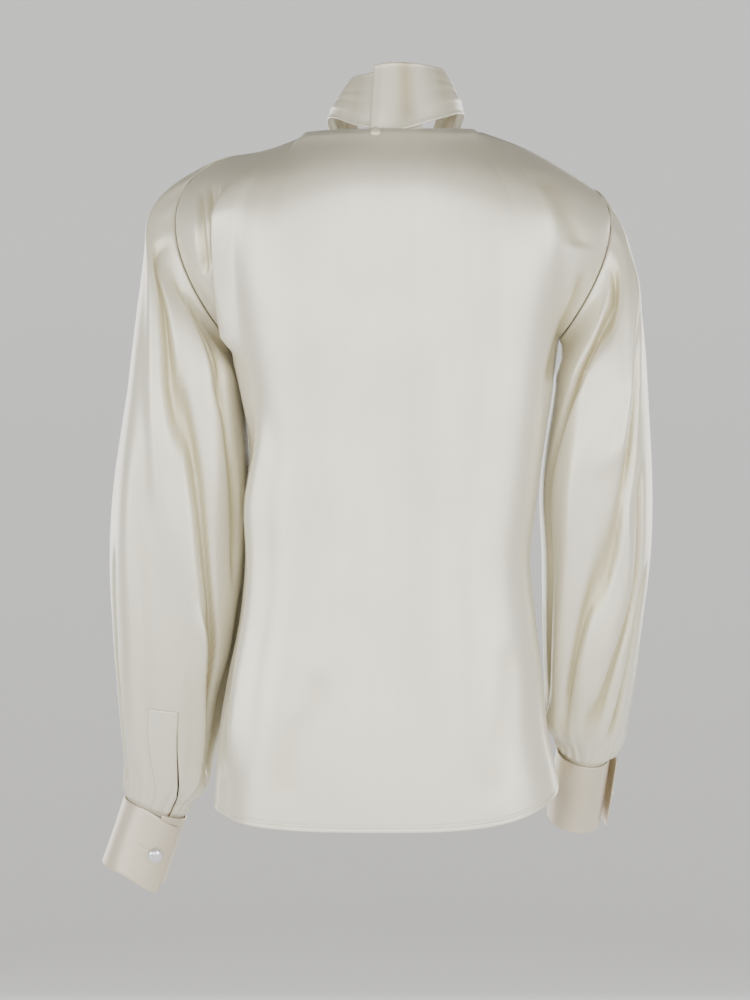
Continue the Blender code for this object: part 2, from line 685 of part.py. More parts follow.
def closed_object(name, points, faces, material):
    """A mesh object of these faces, without unused points and with its faces outward."""
    used, renumbered = np.unique(np.array(faces), return_inverse=True)
    corner = points[np.array(faces)]
    twice = np.cross(corner[:, 2] - corner[:, 0], corner[:, 3] - corner[:, 1])
    inside_out = (corner.mean(axis=1) * twice).sum() < 0
    faces = renumbered.reshape(-1, 4)
    faces = faces[:, ::-1] if inside_out else faces
    return mesh_object(name, points[used].tolist(), faces.tolist(), material)


def make_material(name, colour, roughness, metallic):
    """A plain material of its own."""
    material = bpy.data.materials.new(name)
    material.use_nodes = True
    shader = material.node_tree.nodes["Principled BSDF"]
    shader.inputs["Base Color"].default_value = colour
    shader.inputs["Roughness"].default_value = roughness
    shader.inputs["Metallic"].default_value = metallic
    return material


def make_panel(face, material):
    """The front or the back."""
    grid = panel_grid(face)
    normals = panel_normals(grid)
    wall(f"{face}_panel", grid, grid - normals * CLOTH, material)


def make_sleeve(side, material):
    """A sleeve, and the strip that lies on it beside its slit."""
    points, first = sleeve_grid(side)
    normals = sleeve_normals(points, first)
    inner = points - normals * CLOTH
    wall(
        f"sleeve_{side}", mirrored(side, points), mirrored(side, inner), material, first + 1
    )
    strip = (slice(first - 1, -1), slice(0, PLACKET_COLUMNS + 1))
    under = points[strip] + normals[strip] * LIFT
    over = under + normals[strip] * CLOTH
    wall(f"placket_{side}", mirrored(side, over), mirrored(side, under), material)


def make_cuff(side, material):
    """A cuff, from its free edge to the end of its underlap."""
    grid = cuff_grid(side)
    inner = grid - surface_normals(grid) * CUFF_CLOTH
    wall(f"cuff_{side}", mirrored(side, grid), mirrored(side, inner), material)


def make_scarf_piece(name, grid, towards, material):
    """A scarf piece whose inner face lies towards a point."""
    normals = surface_normals(grid)
    inward = ((np.array(towards) - grid) * normals).sum() > 0
    inner = grid + normals * (SCARF_CLOTH if inward else -SCARF_CLOTH)
    wall(name, grid, inner, material)


def mesh_object(name, points, faces, material):
    """A named, smooth-shaded object in the scene."""
    mesh = bpy.data.meshes.new(name)
    mesh.from_pydata(points, [], faces)
    mesh.shade_smooth()
    mesh.materials.append(material)
    thing = bpy.data.objects.new(name, mesh)
    bpy.context.scene.collection.objects.link(thing)
    return thing


def squared(wave):
    """A sine or cosine pushed outwards, so that a circle becomes squarer."""
    return np.sign(wave) * np.abs(wave) ** KNOT_SQUARE


def make_knot(material):
    """The knot: a rounded box between an egg and a brick."""
    around = np.linspace(0, 2 * math.pi, KNOT_COLUMNS, endpoint=False)
    rise = np.linspace(-math.pi / 2, math.pi / 2, KNOT_ROWS)[1:-1]
    spin, lift = np.meshgrid(around, rise)
    ball = np.stack([
        squared(np.cos(lift)) * squared(np.cos(spin)),
        squared(np.cos(lift)) * squared(np.sin(spin)),
        squared(np.sin(lift)),
    ], axis=-1)
    points = ball * np.array(KNOT_HALF) + np.array(KNOT_CENTRE)
    index = np.arange(spin.size).reshape(spin.shape)
    turned = np.roll(index, -1, axis=1)
    bands = np.stack([index[:-1], turned[:-1], turned[1:], index[1:]], axis=-1)
    faces = bands.reshape(-1, 4).tolist()
    faces += [index[0, ::-1].tolist(), index[-1].tolist()]
    mesh_object("scarf_knot", points.reshape(-1, 3).tolist(), faces, material)


def make_button(name, radius, height, place, facing, material):
    """A domed button, turned about its axis, with its flat back at the given place."""
    climbs = np.linspace(0, math.pi / 2, BUTTON_RINGS + 1)[:-1]
    rings = np.concatenate([[BUTTON_FOOT * radius], radius * np.cos(climbs)])
    dome = BUTTON_WALL + (1 - BUTTON_WALL) * np.sin(climbs)
    heights = np.concatenate([[0.0], height * dome])
    around = np.linspace(0, 2 * math.pi, BUTTON_SIDES, endpoint=False)
    points = np.stack([
        rings[:, None] * np.cos(around),
        rings[:, None] * np.sin(around),
        heights[:, None] + 0 * around,
    ], axis=-1).reshape(-1, 3)
    index = np.arange(len(points)).reshape(len(rings), BUTTON_SIDES)
    turned = np.roll(index, -1, axis=1)
    bands = np.stack([index[:-1], turned[:-1], turned[1:], index[1:]], axis=-1)
    faces = bands.reshape(-1, 4).tolist()
    faces.append(index[0, ::-1].tolist())
    tip = len(points)
    faces += [(a, b, tip) for a, b in zip(index[-1].tolist(), turned[-1].tolist())]
    thing = mesh_object(name, [*points.tolist(), (0.0, 0.0, height)], faces, material)
    thing.location = place
    thing.rotation_mode = "QUATERNION"
    thing.rotation_quaternion = Vector(facing).to_track_quat("Z", "Y")


def make_cuff_button(side, material):
    """The button on the outer end of a cuff, half way down it."""
    wound = math.degrees(BUTTON_FROM_EDGE / SIDES[side]["button_radius"])
    step = np.array([-1, 1])
    around, drop = np.meshgrid(
        wound + step * BUTTON_PATCH_TURN, CUFF_HEIGHT / 2 + step * BUTTON_PATCH_DROP
    )
    patch = cuff_surface(side, around, drop)
    normal = with_length(np.cross(patch[0, 1] - patch[0, 0], patch[1, 0] - patch[0, 0]))
    place = patch.mean(axis=(0, 1)) + normal * BUTTON_LIFT
    make_button(
        f"cuff_button_{side}", BUTTON_RADIUS, BUTTON_HEIGHT,
        mirrored(side, place), mirrored(side, normal), material,
    )


def main():
    """Clear the scene and make every piece."""
    for thing in list(bpy.data.objects):
        bpy.data.objects.remove(thing)
    satin, crystal, pearl = (make_material(*facts) for facts in (SATIN, CRYSTAL, PEARL))
    for face in ("back", "front"):
        make_panel(face, satin)
    for side in SIDES:
        make_sleeve(side, satin)
        make_cuff(side, satin)
        make_cuff_button(side, crystal)
        make_scarf_piece(f"scarf_neck_{side}", scarf_stretch(side), NECK_INSIDE, satin)
        make_scarf_piece(f"scarf_end_{side}", scarf_end(side), ENDS_INSIDE, satin)
    make_knot(satin)
    make_button(
        "nape_button", *NAPE_BUTTON.values(), NAPE_BUTTON_AT, NAPE_BUTTON_FACING, pearl
    )


main()
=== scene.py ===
import math
from collections import namedtuple

import bmesh
import bpy
import numpy as np
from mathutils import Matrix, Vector


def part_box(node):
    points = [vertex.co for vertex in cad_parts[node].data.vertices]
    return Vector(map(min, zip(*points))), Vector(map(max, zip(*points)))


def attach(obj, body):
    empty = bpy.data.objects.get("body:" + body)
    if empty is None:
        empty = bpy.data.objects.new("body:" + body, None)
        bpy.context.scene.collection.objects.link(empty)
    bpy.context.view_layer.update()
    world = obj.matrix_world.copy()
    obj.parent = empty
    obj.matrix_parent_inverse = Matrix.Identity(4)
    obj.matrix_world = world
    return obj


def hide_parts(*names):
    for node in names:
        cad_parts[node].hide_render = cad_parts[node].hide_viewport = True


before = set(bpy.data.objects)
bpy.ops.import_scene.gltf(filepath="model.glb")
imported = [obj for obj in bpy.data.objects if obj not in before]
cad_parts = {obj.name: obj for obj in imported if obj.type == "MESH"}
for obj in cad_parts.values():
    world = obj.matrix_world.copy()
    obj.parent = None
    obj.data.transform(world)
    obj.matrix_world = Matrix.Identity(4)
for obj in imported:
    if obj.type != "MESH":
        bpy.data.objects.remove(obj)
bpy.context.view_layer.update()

bl_info = {
    "name": "Silk blouse",
    "version": (1, 0, 0),
    "blender": (4, 5, 0),
    "location": "View3D > Sidebar > Blouse",
    "description": "Silk satin blouse with full sleeves and a neck scarf, in worn form",
    "category": "Object",
}

# Metres, +Z up, the wearer faces -Y and +X is the wearer's left. "Out" is away from
# the middle of the body on either side. Lengths along the sleeves and panels and the
# places of their edges are the blouse's cut; everything else is drape.

# Cut of the torso ------------------------------------------------------------

ARMPIT = -0.190
HEM_BACK = -0.661
HEM_FRONT = -0.645
SQUARE = {"back": 3.4, "front": 2.4}
ARM_SQUARE = 3.0
NECK_SHARE = 0.5
SHOULDER_TURN = {"back": 2.4, "front": 0.0}  # how sharply the shoulders turn over
CAP_TURN = 1.4
NAPE = (0.0, 0.060, 0.0055)
NECK_POINT = (0.0895, -0.005)
NECK_CORNER = 0.18  # half width of the softening below the neck point
V_BEND = (0.060, -0.072, -0.060)
V_POINT = (0.0, -0.114, -0.165)

# height, left half width, right half width, side seam's place, back depth, front depth
TORSO_SECTIONS = np.array([
    (-0.670, 0.170, 0.167, 0.018, 0.116, 0.116),
    (-0.620, 0.168, 0.163, 0.018, 0.116, 0.118),
    (-0.570, 0.165, 0.153, 0.018, 0.115, 0.120),
    (-0.520, 0.157, 0.148, 0.020, 0.113, 0.122),
    (-0.460, 0.145, 0.141, 0.022, 0.111, 0.125),
    (-0.400, 0.140, 0.136, 0.024, 0.110, 0.128),
    (-0.355, 0.142, 0.141, 0.024, 0.109, 0.130),
    (-0.302, 0.136, 0.148, 0.022, 0.109, 0.133),
    (-0.250, 0.143, 0.156, 0.016, 0.110, 0.134),
    (ARMPIT, 0.157, 0.166, 0.004, 0.112, 0.132),
])

# Large folds of the torso: turn from the middle to the left in degrees, drift towards
# the hem, half width in degrees, lift, height where it starts, height where it is full
BACK_FOLDS = np.array([
    (58, 8, 10, -0.0030, -0.180, -0.320),
    (73, 0, 8, 0.0030, -0.180, -0.300),
    (30, 6, 13, 0.0018, -0.280, -0.560),
    (8, 4, 14, -0.0012, -0.300, -0.600),
    (-20, -4, 14, 0.0014, -0.320, -0.600),
    (-66, -4, 9, 0.0016, -0.320, -0.600),
])
FRONT_FOLDS = np.array([
    (62, 6, 9, 0.0060, -0.220, -0.460),
    (38, 6, 10, -0.0075, -0.230, -0.500),
    (14, 2, 10, 0.0060, -0.280, -0.600),
    (-12, -2, 10, -0.0060, -0.280, -0.580),
    (-38, -5, 10, 0.0075, -0.230, -0.520),
    (-64, -4, 9, -0.0070, -0.220, -0.440),
])

# Bezier handles that carry a panel from the armpit ring over the shoulder. share of
# the half width, then the lower and the upper handle, each as out, back, up
BACK_LEFT = np.array([
    (0.00, 0.000, 0.001, 0.141, 0.000, 0.050, -0.034),
    (0.30, 0.001, 0.006, 0.140, 0.006, 0.060, -0.032),
    (0.50, 0.004, 0.014, 0.138, 0.014, 0.074, -0.034),
    (0.75, 0.010, 0.030, 0.124, 0.030, 0.088, -0.032),
    (1.00, 0.008, 0.050, 0.006, 0.112, 0.072, -0.045),
])
BACK_RIGHT = np.array([
    (0.00, 0.000, 0.001, 0.141, 0.000, 0.050, -0.034),
    (0.30, 0.000, 0.006, 0.140, 0.006, 0.060, -0.034),
    (0.50, 0.003, 0.014, 0.138, 0.010, 0.074, -0.036),
    (0.75, 0.008, 0.032, 0.118, 0.016, 0.088, -0.032),
    (1.00, 0.006, 0.050, 0.006, 0.046, 0.078, -0.038),
])
FRONT_LEFT = np.array([
    (0.00, 0.000, -0.001, 0.008, 0.000, -0.004, -0.008),
    (0.30, -0.008, -0.001, 0.038, 0.006, -0.020, -0.038),
    (0.50, -0.002, -0.012, 0.066, 0.012, -0.056, -0.036),
    (0.75, 0.004, -0.032, 0.062, 0.032, -0.060, -0.026),
    (1.00, 0.004, -0.044, 0.010, 0.058, -0.054, -0.040),
])
FRONT_RIGHT = np.array([
    (0.00, 0.000, -0.001, 0.008, 0.000, -0.004, -0.008),
    (0.30, -0.008, -0.001, 0.038, 0.004, -0.020, -0.038),
    (0.50, -0.002, -0.012, 0.066, 0.006, -0.056, -0.034),
    (0.75, 0.003, -0.032, 0.062, 0.010, -0.060, -0.022),
    (1.00, 0.003, -0.044, 0.010, 0.010, -0.052, -0.034),
])

# Cut of the sleeves ----------------------------------------------------------

# height, centre out, centre back, half width out, half width back, lean out, lean
# forward; the leans in degrees
LEFT_RINGS = np.array([
    (-0.237, 0.2005, -0.012, 0.0540, 0.078, 0, 0),
    (-0.330, 0.2035, -0.021, 0.0655, 0.082, 0, 0),
    (-0.405, 0.2070, -0.028, 0.0665, 0.082, 0, 0),
    (-0.485, 0.2105, -0.036, 0.0600, 0.079, 2, 2),
    (-0.533, 0.2160, -0.041, 0.0515, 0.073, 5, 3),
    (-0.583, 0.2190, -0.046, 0.0455, 0.062, 9, 4),
    (-0.622, 0.2230, -0.050, 0.0395, 0.047, 15, 5),
    (-0.650, 0.2310, -0.053, 0.0330, 0.032, 19, 6),
])
RIGHT_RINGS = np.array([
    (-0.237, 0.2065, -0.012, 0.0450, 0.076, 0, 0),
    (-0.330, 0.2025, -0.021, 0.0540, 0.080, 0, 0),
    (-0.400, 0.2030, -0.029, 0.0525, 0.081, 0, 0),
    (-0.470, 0.1995, -0.038, 0.0480, 0.079, 0, 3),
    (-0.516, 0.1970, -0.045, 0.0440, 0.074, -2, 6),
    (-0.554, 0.1955, -0.051, 0.0400, 0.065, -5, 9),
    (-0.580, 0.1950, -0.056, 0.0350, 0.050, -7, 13),
    (-0.598, 0.1925, -0.060, 0.0265, 0.040, -8, 16),
])
UNDERARM_START = (0.006, -0.020)
UNDERARM_SETTLE = (0.000, 0.022)

SIDES = {
    "left": {
        "out": 1.0,
        "neck_rise": 0.0060,
        "shoulder": (0.1545, -0.012, -0.010),
        "crown": -0.0030,
        "hem": -0.636,
        "hem_power": 1.85,
        "back": BACK_LEFT,
        "front": FRONT_LEFT,
        "rings": LEFT_RINGS,
        "cap_start": (0.050, -0.020),
        "cap_settle": (-0.0185, 0.158),
        "slit": 60.0,
        "slit_lean": 22.0,
        "bag": 20.0,
        "gape": 0.0030,
        "edge": 36.0,
        "stand_off": 0.0028,
        "slip": 0.0080,
        "cuff_radius": 0.033,
    },
    "right": {
        "out": -1.0,
        "neck_rise": 0.0125,
        "shoulder": (0.199, -0.012, -0.042),
        "crown": 0.0060,
        "hem": -0.612,
        "hem_power": 1.60,
        "back": BACK_RIGHT,
        "front": FRONT_RIGHT,
        "rings": RIGHT_RINGS,
        "cap_start": (0.021, -0.018),
        "cap_settle": (-0.0045, 0.087),
        "slit": 164.0,
        "slit_lean": 4.0,
        "bag": 36.0,
        "gape": 0.0090,
        "edge": 168.0,
        "stand_off": 0.0080,
        "slip": 0.0,
        "cuff_radius": 0.040,
    },
}

# Creases ---------------------------------------------------------------------

# A crease runs down the cloth. heights are where its path is given, and places are
# the path there: out of the middle in metres on a panel, turn in degrees on a sleeve.
# width is its half width in metres, lift its height above the cloth, and steep the
# share of that width on its high-turn side, or on its left side on a panel. over is
# how far the cloth laps over to that side and hides the trough beyond.
Crease = namedtuple("Crease", "heights places width lift steep over", defaults=(1.0, 0.0))

LEFT_CREASES = [
    Crease((-0.06, -0.165, -0.306, -0.417, -0.540, -0.640), (108, 103, 84, 70, 46, 40), 0.0055, -0.0105),
    Crease((-0.06, -0.165, -0.306, -0.417, -0.540), (122, 117, 99, 84, 62), 0.0110, 0.0045),
    Crease(
        (-0.440, -0.516, -0.547, -0.597, -0.640), (74, 64, 56, 48, 44),
        0.0065, 0.0055, 1.0, -0.0060,
    ),
    Crease((-0.38, -0.418, -0.486, -0.579, -0.640), (146, 148, 152, 153, 162), 0.0045, -0.0085),
    Crease((-0.12, -0.147, -0.221, -0.270), (82, 76, 61, 50), 0.0055, -0.0050),
    Crease((-0.13, -0.200, -0.320, -0.440), (64, 54, 44, 34), 0.0070, -0.0060),
    Crease((-0.10, -0.200, -0.360, -0.520, -0.640), (140, 138, 126, 118, 112), 0.0240, 0.0035),
    Crease((-0.28, -0.400, -0.520, -0.640), (116, 110, 104, 98), 0.0110, -0.0028),
    Crease((-0.10, -0.240, -0.420, -0.560, -0.630), (340, 340, 340, 343, 350), 0.0240, 0.0110),
    Crease((-0.14, -0.300, -0.480, -0.640), (186, 190, 196, 196), 0.0150, -0.0065),
    Crease((-0.20, -0.360, -0.520, -0.640), (222, 226, 228, 222), 0.0170, 0.0070),
    Crease((-0.10, -0.260, -0.440, -0.640), (250, 256, 262, 258), 0.0090, -0.0100),
    Crease((-0.26, -0.400, -0.540, -0.640), (284, 290, 296, 290), 0.0150, 0.0060),
    Crease((-0.34, -0.480, -0.580, -0.640), (318, 322, 326, 322), 0.0080, -0.0075),
    Crease((-0.42, -0.520, -0.640), (12, 14, 14), 0.0080, -0.0060),
]
RIGHT_CREASES = [
    Crease(
        (-0.06, -0.100, -0.193, -0.258, -0.306, -0.434, -0.560),
        (118, 110, 84, 50, 34, 30, 22), 0.0060, -0.0100,
    ),
    Crease(
        (-0.13, -0.157, -0.257, -0.330, -0.4285, -0.530, -0.590),
        (146, 140, 119, 105, 89, 67, 58), 0.0060, -0.0085,
    ),
    Crease((-0.30, -0.335, -0.446, -0.510, -0.564, -0.590), (132, 128, 124, 105, 90, 84), 0.0052, -0.0080),
    Crease((-0.40, -0.428, -0.492, -0.541, -0.559, -0.590), (148, 143, 134, 124, 119, 112), 0.0048, -0.0075),
    Crease((-0.24, -0.330, -0.430, -0.520, -0.590), (76, 70, 60, 50, 44), 0.0160, 0.0045),
    Crease((-0.18, -0.300, -0.430, -0.520, -0.590), (112, 100, 108, 88, 76), 0.0110, 0.0040),
    Crease((-0.10, -0.180, -0.260, -0.330), (150, 136, 112, 92), 0.0100, 0.0040),
    Crease((-0.16, -0.320, -0.470, -0.590), (192, 198, 200, 194), 0.0130, -0.0060),
    Crease((-0.20, -0.340, -0.500, -0.590), (226, 230, 232, 226), 0.0160, 0.0065),
    Crease((-0.10, -0.280, -0.440, -0.590), (256, 262, 264, 258), 0.0090, -0.0095),
    Crease((-0.26, -0.400, -0.520, -0.590), (288, 292, 296, 290), 0.0150, 0.0060),
    Crease((-0.34, -0.460, -0.590), (320, 324, 322), 0.0080, -0.0070),
    Crease((-0.44, -0.520, -0.590), (0, 2, 2), 0.0080, -0.0050),
]
BACK_CREASES = [
    Crease(
        (-0.040, -0.055, -0.095, -0.132, -0.158, -0.183, -0.215),
        (0.160, 0.1605, 0.1625, 0.1605, 0.1575, 0.1540, 0.1480), 0.0055, 0.0065, 1.0, 0.0078,
    ),
    Crease((-0.036, -0.070, -0.130), (0.1735, 0.1725, 0.1690), 0.0030, -0.0050),
    Crease((-0.040, -0.080, -0.135), (0.1825, 0.1805, 0.1755), 0.0034, -0.0048),
    Crease((-0.030, -0.060, -0.110), (-0.140, -0.160, -0.186), 0.0130, -0.0030),
    Crease((-0.120, -0.150, -0.192, -0.240), (-0.188, -0.181, -0.164, -0.152), 0.0050, -0.0056),
    Crease((-0.470, -0.540, -0.580, -0.640), (-0.116, -0.110, -0.102, -0.094), 0.0140, -0.0016),
    Crease((-0.500, -0.540, -0.570, -0.640), (0.066, 0.072, 0.090, 0.104), 0.0130, -0.0013),
    Crease((-0.140, -0.300, -0.480, -0.620), (-0.020, -0.024, -0.030, -0.036), 0.0200, -0.0008),
    Crease((-0.160, -0.300, -0.460, -0.600), (0.052, 0.050, 0.040, 0.030), 0.0180, 0.0007),
    Crease((-0.200, -0.320, -0.460, -0.620), (-0.078, -0.072, -0.066, -0.070), 0.0170, 0.0008),
    Crease(
        (-0.240, -0.300, -0.350, -0.420, -0.520, -0.620),
        (0.136, 0.127, 0.134, 0.132, 0.146, 0.156), 0.0080, 0.0035, 1.0, 0.0060,
    ),
]
FRONT_CREASES = [
    Crease((-0.060, -0.120, -0.190, -0.260), (0.104, 0.112, 0.124, 0.128), 0.0100, -0.0050),
    Crease((-0.080, -0.140, -0.210, -0.280), (-0.114, -0.124, -0.136, -0.138), 0.0100, -0.0055),
    Crease((-0.160, -0.260, -0.400, -0.600), (0.060, 0.066, 0.070, 0.074), 0.0080, -0.0040),
    Crease((-0.200, -0.320, -0.480, -0.620), (-0.050, -0.056, -0.062, -0.060), 0.0080, -0.0040),
    Crease((-0.280, -0.400, -0.520, -0.640), (0.010, 0.014, 0.018, 0.022), 0.0100, 0.0030),
    Crease((-0.240, -0.360, -0.500, -0.640), (-0.100, -0.104, -0.108, -0.112), 0.0090, 0.0045),
    Crease((-0.260, -0.400, -0.540, -0.640), (0.108, 0.110, 0.112, 0.116), 0.0090, 0.0045),
]
DEEP_CREASE = 0.005  # a crease this deep is fully shaded
SLEEVE_CREASES = {"left": LEFT_CREASES, "right": RIGHT_CREASES}

# Scarf -----------------------------------------------------------------------

NECK_AXIS = (-0.007, -0.006)
# turn from the back of the neck in degrees, lower edge's radius and height, upper
# edge's radius and height
SCARF_LEFT = np.array([
    (-24, 0.0600, 0.010, 0.0480, 0.063),
    (0, 0.0600, 0.008, 0.0480, 0.066),
    (35, 0.0625, 0.013, 0.0478, 0.065),
    (70, 0.0660, 0.024, 0.0475, 0.062),
    (100, 0.0680, 0.022, 0.0485, 0.052),
    (140, 0.0745, -0.010, 0.0580, 0.020),
    (163, 0.0795, -0.044, 0.0700, -0.020),
])
SCARF_RIGHT = np.array([
    (-24, 0.0660, 0.003, 0.0530, 0.072),
    (0, 0.0660, 0.007, 0.0530, 0.0745),
    (35, 0.0662, 0.019, 0.0515, 0.0725),
    (70, 0.0655, 0.028, 0.0495, 0.070),
    (100, 0.0665, 0.026, 0.0505, 0.058),
    (140, 0.0745, -0.006, 0.0580, 0.024),
    (163, 0.0795, -0.044, 0.0700, -0.020),
])
BAND_SWELL = 0.0035
# height, centre out, half width, depth in front
SCARF_END = np.array([
    (-0.063, 0.009, 0.0075, 0.0880),
    (-0.090, 0.013, 0.0120, 0.1040),
    (-0.125, 0.018, 0.0160, 0.1240),
    (-0.170, 0.024, 0.0210, 0.1390),
    (-0.240, 0.031, 0.0270, 0.1430),
    (-0.330, 0.037, 0.0320, 0.1420),
    (-0.420, 0.041, 0.0350, 0.1380),
])
END_FOLD = 0.0030
DEEP_DENT = 0.0034  # a dent this deep is fully shaded

# Dents that run up the band: turn in degrees, half width in degrees, depth
SCARF_DENTS = {
    "left": [(9, 5, -0.0022), (26, 9, 0.0014), (46, 8, -0.0012)],
    "right": [(-13, 6, 0.0016), (9, 8, -0.0034), (30, 10, 0.0012), (52, 9, -0.0014)],
}
# rise of the crease on the band, its slope round the neck, half width, depth
SCARF_CREASES = {
    "left": [(0.72, -0.25, 0.06, -0.0012), (0.40, 0.15, 0.07, -0.0014), (0.20, 0.20, 0.05, 0.0008)],
    "right": [(0.80, -0.30, 0.06, -0.0012), (0.50, 0.05, 0.08, -0.0014), (0.25, 0.20, 0.05, 0.0008)],
}

# Grids
PANEL_COLUMNS = 224
LOWER_ROWS = 104
UPPER_ROWS = 60
SLEEVE_COLUMNS = 156
CAP_ROWS = 44
ARM_ROWS = 130
SLIT_ROWS = 44
PLACKET_COLUMNS = 12
PLACKET_ROWS_ABOVE = 10  # rows of the sleeve that the strip covers above the slit
PLACKET_EDGE = 0.0004  # how far the strip dips at its edges and its stitched bar
CAP_EASE = 0.0008  # ripple of the cap where it is eased into the armhole
WRIST_SEAM = 0.0024  # how far the cloth dips into the cuff
SLIT_GAP = 0.0004
TUCK = 0.005  # reach of the sleeve inside its cuff
CUFF_LAP = 0.022  # how far the cuff goes under itself
PLACKET_LIFT = 0.0012
CUFF_COLUMNS = 180
CUFF_ROWS = 116
BUTTONHOLE = (0.004, 0.020)  # its start and end, from the middle of the button
BUTTONHOLE_DEPTH = 0.0007


# Curves ----------------------------------------------------------------------


def through(knots, values, at):
    """A smooth curve through a value at each knot: cubic Hermite pieces whose slopes
    are the central differences of the values, read at the given places."""
    at = np.clip(at, knots[0], knots[-1])
    slopes = np.gradient(values, knots, axis=0)
    i = np.clip(np.searchsorted(knots, at, side="right") - 1, 0, len(knots) - 2)
    step = knots[i + 1] - knots[i]
    t = (at - knots[i]) / step
    if np.ndim(values) > 1:
        step, t = step[..., None], t[..., None]
    ends = values[i] * (1 + 2 * t) * (1 - t) ** 2 + values[i + 1] * t * t * (3 - 2 * t)
    return ends + step * t * (1 - t) * (slopes[i] * (1 - t) - slopes[i + 1] * t)


def ease(x):
    """0 below 0, 1 above 1, and 3x^2 - 2x^3 between."""
    x = np.clip(x, 0.0, 1.0)
    return x * x * (3 - 2 * x)


def bezier(a, b, c, d, t, weight=1.0):
    """Point t of the cubic with ends a and d and handles b and c. The handles' weight,
    over 1, draws it towards its handles, so it turns more sharply between them."""
    ends, first, second = (1 - t) ** 3 + t**3, 3 * t * (1 - t) ** 2, 3 * t * t * (1 - t)
    total = ends + weight * (first + second)
    return (a * (1 - t) ** 3 + d * t**3 + weight * (b * first + c * second)) / total


def bump(distance, half_width):
    """exp(-(distance / half width)^2), a soft ridge of height 1."""
    return np.exp(-((distance / half_width) ** 2))


def with_length(vectors, length=1.0):
    return vectors * (length / np.linalg.norm(vectors, axis=-1, keepdims=True))


def grid_normals(grid):
    """Unit normals of a grid of points: the cross product of its two steps."""
    along, around = np.gradient(grid, axis=0), np.gradient(grid, axis=1)
    return with_length(np.cross(around, along))


def crease_pull(crease, place, height, scale=1.0):
    """Lift and sideways pull of one crease at distance d from its path: a ridge or
    trough, lift * exp(-(d/width)^2), that fades out at both ends of the path. A lapped
    one is a lobe pulled over a trough of its own."""
    heights, places = np.array(crease.heights[::-1]), np.array(crease.places[::-1], float)
    span = heights[-1] - heights[0]
    away = (place - through(heights, places, height)) * scale
    share = (height - heights[0]) / span
    fade = ease(share / 0.16) * ease((1 - share) / 0.22)
    if not crease.over:
        width = np.where(away > 0, crease.width * crease.steep, crease.width)
        return crease.lift * bump(away, width) * fade, 0 * fade
    way = math.copysign(crease.width, crease.over)
    lobe, trough = bump(away + 0.7 * way, crease.width), bump(away - 0.8 * way, 0.8 * crease.width)
    return crease.lift * (lobe - trough) * fade, crease.over * (lobe - 0.4 * trough) * fade


def creased(grid, creases, place, height, scale=1.0):
    """Sum of the creases' lifts and pulls over a grid."""
    pulls = [crease_pull(crease, place(crease), height, scale) for crease in creases]
    lift, pull = (sum(parts) for parts in zip(*pulls))
    return lift + np.zeros(grid.shape[:2]), pull + np.zeros(grid.shape[:2])


def edge_distance(grid):
    """Distance of each point of a grid from its first and last column, along its row."""
    steps = np.linalg.norm(np.diff(grid, axis=1), axis=2)
    zero = np.zeros((len(grid), 1))
    run = np.concatenate([zero, np.cumsum(steps, axis=1)], axis=1)
    return run, run[:, -1:] - run


# Torso -----------------------------------------------------------------------


def torso_ring(face, across, height):
    """Point of the torso at a height: a superellipse with half widths and depths read
    from the section table; across runs from -1, right side, to 1, left side."""
    row = through(TORSO_SECTIONS[:, 0], TORSO_SECTIONS[:, 1:], height)
    half = np.where(across > 0, row[..., 0], row[..., 1])
    seam = row[..., 2]
    depth = row[..., 3] - seam if face == "back" else -row[..., 4] - seam
    turn = across * math.pi / 2
    power = 2 / SQUARE[face]
    x = half * np.sign(turn) * np.abs(np.sin(turn)) ** power
    y = seam + depth * np.clip(np.cos(turn), 0, 1) ** power
    return np.stack([x, y, height], axis=-1)


def torso_drape(face, across, height):
    """How far the large folds lift the torso's cloth: a sum of soft ridges that drift
    and grow towards the hem."""
    folds = BACK_FOLDS if face == "back" else FRONT_FOLDS
    lift = np.zeros(np.shape(across))
    for place, drift, width, depth, start, full in folds:
        grown = ease((start - height) / (start - full))
        lift += depth * grown * bump(across * 90 - place - drift * grown, width)
    return lift * (1 - np.abs(across) ** 6)


def handles(side, face, share, column):
    table = SIDES[side][face]
    return through(table[:, 0], table[:, column : column + 3], share)


def top_edge(side, face, share):
    """The panel's top edge: a quarter ellipse, or on the front a parabola to the V's
    point, and then the shoulder seam, a straight line with a slight crown."""
    facts = SIDES[side]
    neck, shoulder = np.array([*NECK_POINT, facts["neck_rise"]]), np.array(facts["shoulder"])
    along = np.clip(share / NECK_SHARE, 0, 1)[..., None]
    if face == "back":
        turn = along * math.pi / 2
        across, back = np.sin(turn), np.cos(turn)
        rise = NAPE[2] + (neck[2] - NAPE[2]) * along**2
        line = np.concatenate(
            [neck[0] * across, neck[1] + (NAPE[1] - neck[1]) * back, rise], axis=-1
        )
    else:
        point, bend = np.array(V_POINT), np.array(V_BEND)
        line = point * (1 - along) ** 2 + 2 * bend * along * (1 - along) + neck * along**2
    past = np.clip((share - NECK_SHARE) / (1 - NECK_SHARE), 0, 1)[..., None]
    seam = neck + (shoulder - neck) * past
    seam[..., 2:] += facts["crown"] * np.sin(math.pi * past)
    return np.where(share[..., None] <= NECK_SHARE, line, seam)


